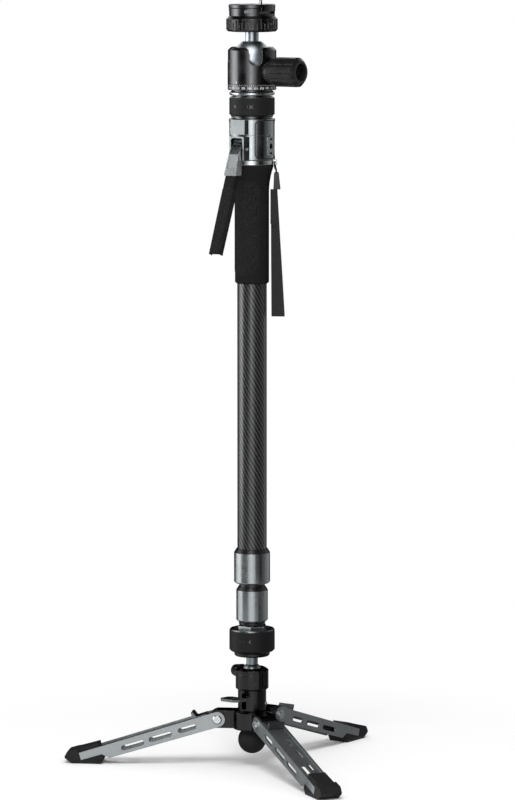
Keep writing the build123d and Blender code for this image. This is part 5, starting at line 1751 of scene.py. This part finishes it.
@dataclass(frozen=True)
class Lamp:
    """One soft lamp, aimed at the middle of the monopod.

    Attributes:
        name: Its name.
        azimuth: Its direction to the right of the camera's, in degrees.
        elevation: Its direction above the horizon, in degrees.
        distance: Its distance from the aim, in metres.
        size: Its width and height, in metres.
        power: Its power, in watts.
        gloss_only: Whether it only shows in reflections.
    """

    name: str
    azimuth: float
    elevation: float
    distance: float
    size: tuple[float, float]
    power: float
    gloss_only: bool = False


@dataclass
class Studio:
    """The pale floor, the white surround, the soft lamps and the photograph's camera.

    The floor turns into plain white between the two distances of floor_fade. The cards stand
    round the object, unseen but in its metal's reflections, at azimuths in degrees to the right
    of the camera. A level is how bright a card looks there, where 1 is white.
    """

    camera_azimuth: float = radians(36)
    camera_distance: float = 4.70
    camera_height: float = 0.95
    camera_pitch: float = radians(6.645)
    focal_pixels: float = 4363.0
    axis_pixel: float = 252.0
    sensor: float = 36.0
    clip: tuple[float, float] = (0.1, 200.0)
    floor_radius: float = 40.0
    floor_sides: int = 96
    floor_colour: Colour = grey(0.97)
    floor_shade: Colour = grey(0.96)
    floor_patches: float = 30.0
    floor_fade: tuple[float, float] = (0.16, 0.55)
    surround: float = 0.62
    card_distance: float = 0.85
    card_width: float = 0.36
    front_height: float = 1.6
    back_height: float = 0.85
    front_cards: tuple[tuple[float, float], ...] = (
        (-62.0, 0.0), (-38.0, 0.0), (31.0, 0.0), (55.0, 0.0),
        (79.0, 0.15), (103.0, 0.34), (127.0, 0.5),
    )
    back_azimuths: tuple[float, ...] = (151.0, 175.0, 199.0, 223.0)
    ground_edge: float = -0.10
    ground_reach: float = 0.85
    ground_rise: float = 3 * MM
    ground_level: float = 0.2
    ceiling_height: float = 2.3
    ceiling_radius: float = 2.4
    ceiling_sides: int = 48
    aim: Vector = field(default_factory=lambda: Vector((0, 0, 0.4)))
    lamps: tuple[Lamp, ...] = (
        Lamp("key", -10, 55, 2.6, (1.1, 1.4), 48),
        Lamp("left_strip", -90, 6, 2.0, (1.2, 1.5), 15, gloss_only=True),
        Lamp("front", -4, 8, 3.2, (0.8, 2.0), 11),
    )

    def towards(self, azimuth: float, elevation: float = 0.0) -> Vector:
        """Gives the direction to the right of the camera's and above the horizon, in degrees."""
        turn, rise = self.camera_azimuth + radians(azimuth), radians(elevation)
        return Vector((sin(turn) * cos(rise), -cos(turn) * cos(rise), sin(rise)))

    def camera(self) -> None:
        """Sets the camera where the photograph was taken from."""
        aside = (PHOTO_WIDTH / 2 - self.axis_pixel) / self.focal_pixels * self.camera_distance
        data = bpy.data.cameras.new("photo_camera")
        data.sensor_width = self.sensor
        data.lens = self.focal_pixels / PHOTO_HEIGHT * self.sensor
        data.clip_start, data.clip_end = self.clip
        camera = bpy.data.objects.new("photo_camera", data)
        camera.location = self.towards(0.0) * self.camera_distance + self.towards(90.0) * aside
        camera.location.z = self.camera_height
        camera.rotation_euler = (pi / 2 - self.camera_pitch, 0, self.camera_azimuth)
        bpy.context.scene.collection.objects.link(camera)
        bpy.context.scene.camera = camera

    def floor(self) -> None:
        """Lays the pale floor, which fades into the white surround far from the object."""
        deselect()
        bpy.ops.mesh.primitive_circle_add(
            vertices=self.floor_sides, radius=self.floor_radius, fill_type="NGON"
        )
        ground = bpy.context.object
        ground.name = "floor"
        graph = Graph(bpy.data.materials.new("pale_floor"))
        speckle = graph.noise(graph.place(), self.floor_patches)
        graph.set(
            Base_Color=graph.mix(speckle, opaque(self.floor_colour), opaque(self.floor_shade)),
            Roughness=0.9,
            Specular_IOR_Level=0.1,
        )
        lit = graph.fill(graph.add("ShaderNodeEmission"), Color=WHITE)
        reach = graph.add("ShaderNodeVectorMath", operation="LENGTH")
        graph.feed(reach.inputs[0], graph.place())
        far = graph.span(reach.outputs["Value"], *self.floor_fade)
        blend = graph.add("ShaderNodeMixShader")
        surface = graph.tree.nodes["Principled BSDF"]
        for socket, value in zip(blend.inputs, (
            graph.math("MULTIPLY", far, graph.seen()), surface.outputs[0], lit.outputs[0]
        )):
            graph.feed(socket, value)
        graph.feed(graph.tree.nodes["Material Output"].inputs["Surface"], blend.outputs[0])
        ground.data.materials.append(graph.owner)

    def world(self) -> None:
        """Lights the scene evenly, with a surround that looks white to the camera and in metal."""
        world = bpy.data.worlds.new("studio")
        bpy.context.scene.world = world
        graph = Graph(world)
        level = graph.span(graph.seen(), 0.0, 1.0, self.surround, 1.0)
        graph.fill(graph.tree.nodes["Background"], Color=WHITE, Strength=level)

    def hang(self, lamp: Lamp) -> None:
        """Hangs a lamp and aims it.

        Args:
            lamp: The lamp.
        """
        data = bpy.data.lights.new(lamp.name, "AREA")
        data.shape = "RECTANGLE"
        data.size, data.size_y = lamp.size
        data.energy = lamp.power
        light = bpy.data.objects.new(lamp.name, data)
        back = self.towards(lamp.azimuth, lamp.elevation)
        light.location = self.aim + back * lamp.distance
        light.visible_diffuse = not lamp.gloss_only
        light.rotation_mode = "QUATERNION"
        light.rotation_quaternion = (-back).to_track_quat("-Z", "Y")
        bpy.context.scene.collection.objects.link(light)

    def hide(self, card: bpy.types.Object, name: str, level: float) -> None:
        """Makes a card that only the object's reflections show.

        Args:
            card: The card.
            name: Its name.
            level: How bright it looks in them.
        """
        card.name = name
        graph = Graph(bpy.data.materials.new("dark_card"))
        graph.set(
            Base_Color=opaque(grey(0.0)), Roughness=1.0, Specular_IOR_Level=0.0,
            Emission_Color=WHITE, Emission_Strength=level,
        )
        settle(card)
        card.data.materials.append(graph.owner)
        card.visible_camera = False
        card.visible_diffuse = False
        card.visible_shadow = False
        card.visible_transmission = False

    def stand(self, azimuth: float, height: float, level: float) -> None:
        """Stands one card beside the object.

        Args:
            azimuth: Its direction to the right of the camera's, in degrees.
            height: Its height.
            level: How bright it looks in reflections.
        """
        deselect()
        bpy.ops.mesh.primitive_grid_add(x_subdivisions=4, y_subdivisions=4, size=1)
        card = bpy.context.object
        card.scale = (self.card_width, height, 1)
        card.rotation_euler = (pi / 2, 0, self.camera_azimuth + radians(azimuth))
        card.location = self.towards(azimuth) * self.card_distance
        card.location.z = height / 2
        self.hide(card, f"dark_card_{round(azimuth) % 360}", level)

    def ground_card(self) -> None:
        """Lays a card on the floor, from behind the front leg's wall, for the legs to mirror."""
        deselect()
        bpy.ops.mesh.primitive_plane_add(size=1)
        card = bpy.context.object
        card.scale = (2 * self.ground_reach, self.ground_reach - self.ground_edge, 1)
        card.location = (0, (self.ground_reach + self.ground_edge) / 2, self.ground_rise)
        self.hide(card, "dark_card_ground", self.ground_level)

    def cards(self) -> None:
        """Lays and stands the cards round the object, and hangs one over it."""
        self.ground_card()
        for azimuth, level in self.front_cards:
            self.stand(azimuth, self.front_height, level)
        for azimuth in self.back_azimuths:
            self.stand(azimuth, self.back_height, 0.0)
        deselect()
        bpy.ops.mesh.primitive_circle_add(
            vertices=self.ceiling_sides, radius=self.ceiling_radius, fill_type="NGON",
            location=(0, 0, self.ceiling_height),
        )
        self.hide(bpy.context.object, "dark_ceiling", 0.0)

    def build(self) -> None:
        """Sets up the whole studio."""
        self.camera()
        self.floor()
        self.world()
        self.cards()
        for lamp in self.lamps:
            self.hang(lamp)
        bpy.context.scene.view_settings.view_transform = "Standard"


def main() -> None:
    """Builds the studio and every sub-assembly in order."""
    logging.basicConfig(level=logging.INFO, format="%(name)s: %(message)s")
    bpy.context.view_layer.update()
    deselect()
    Studio().build()
    wardrobe = Wardrobe()
    for part in (Strap, Head, Column, Base):
        part(wardrobe).build()
        log.info("built %s", part.__name__)


if __name__ == "__main__":
    main()
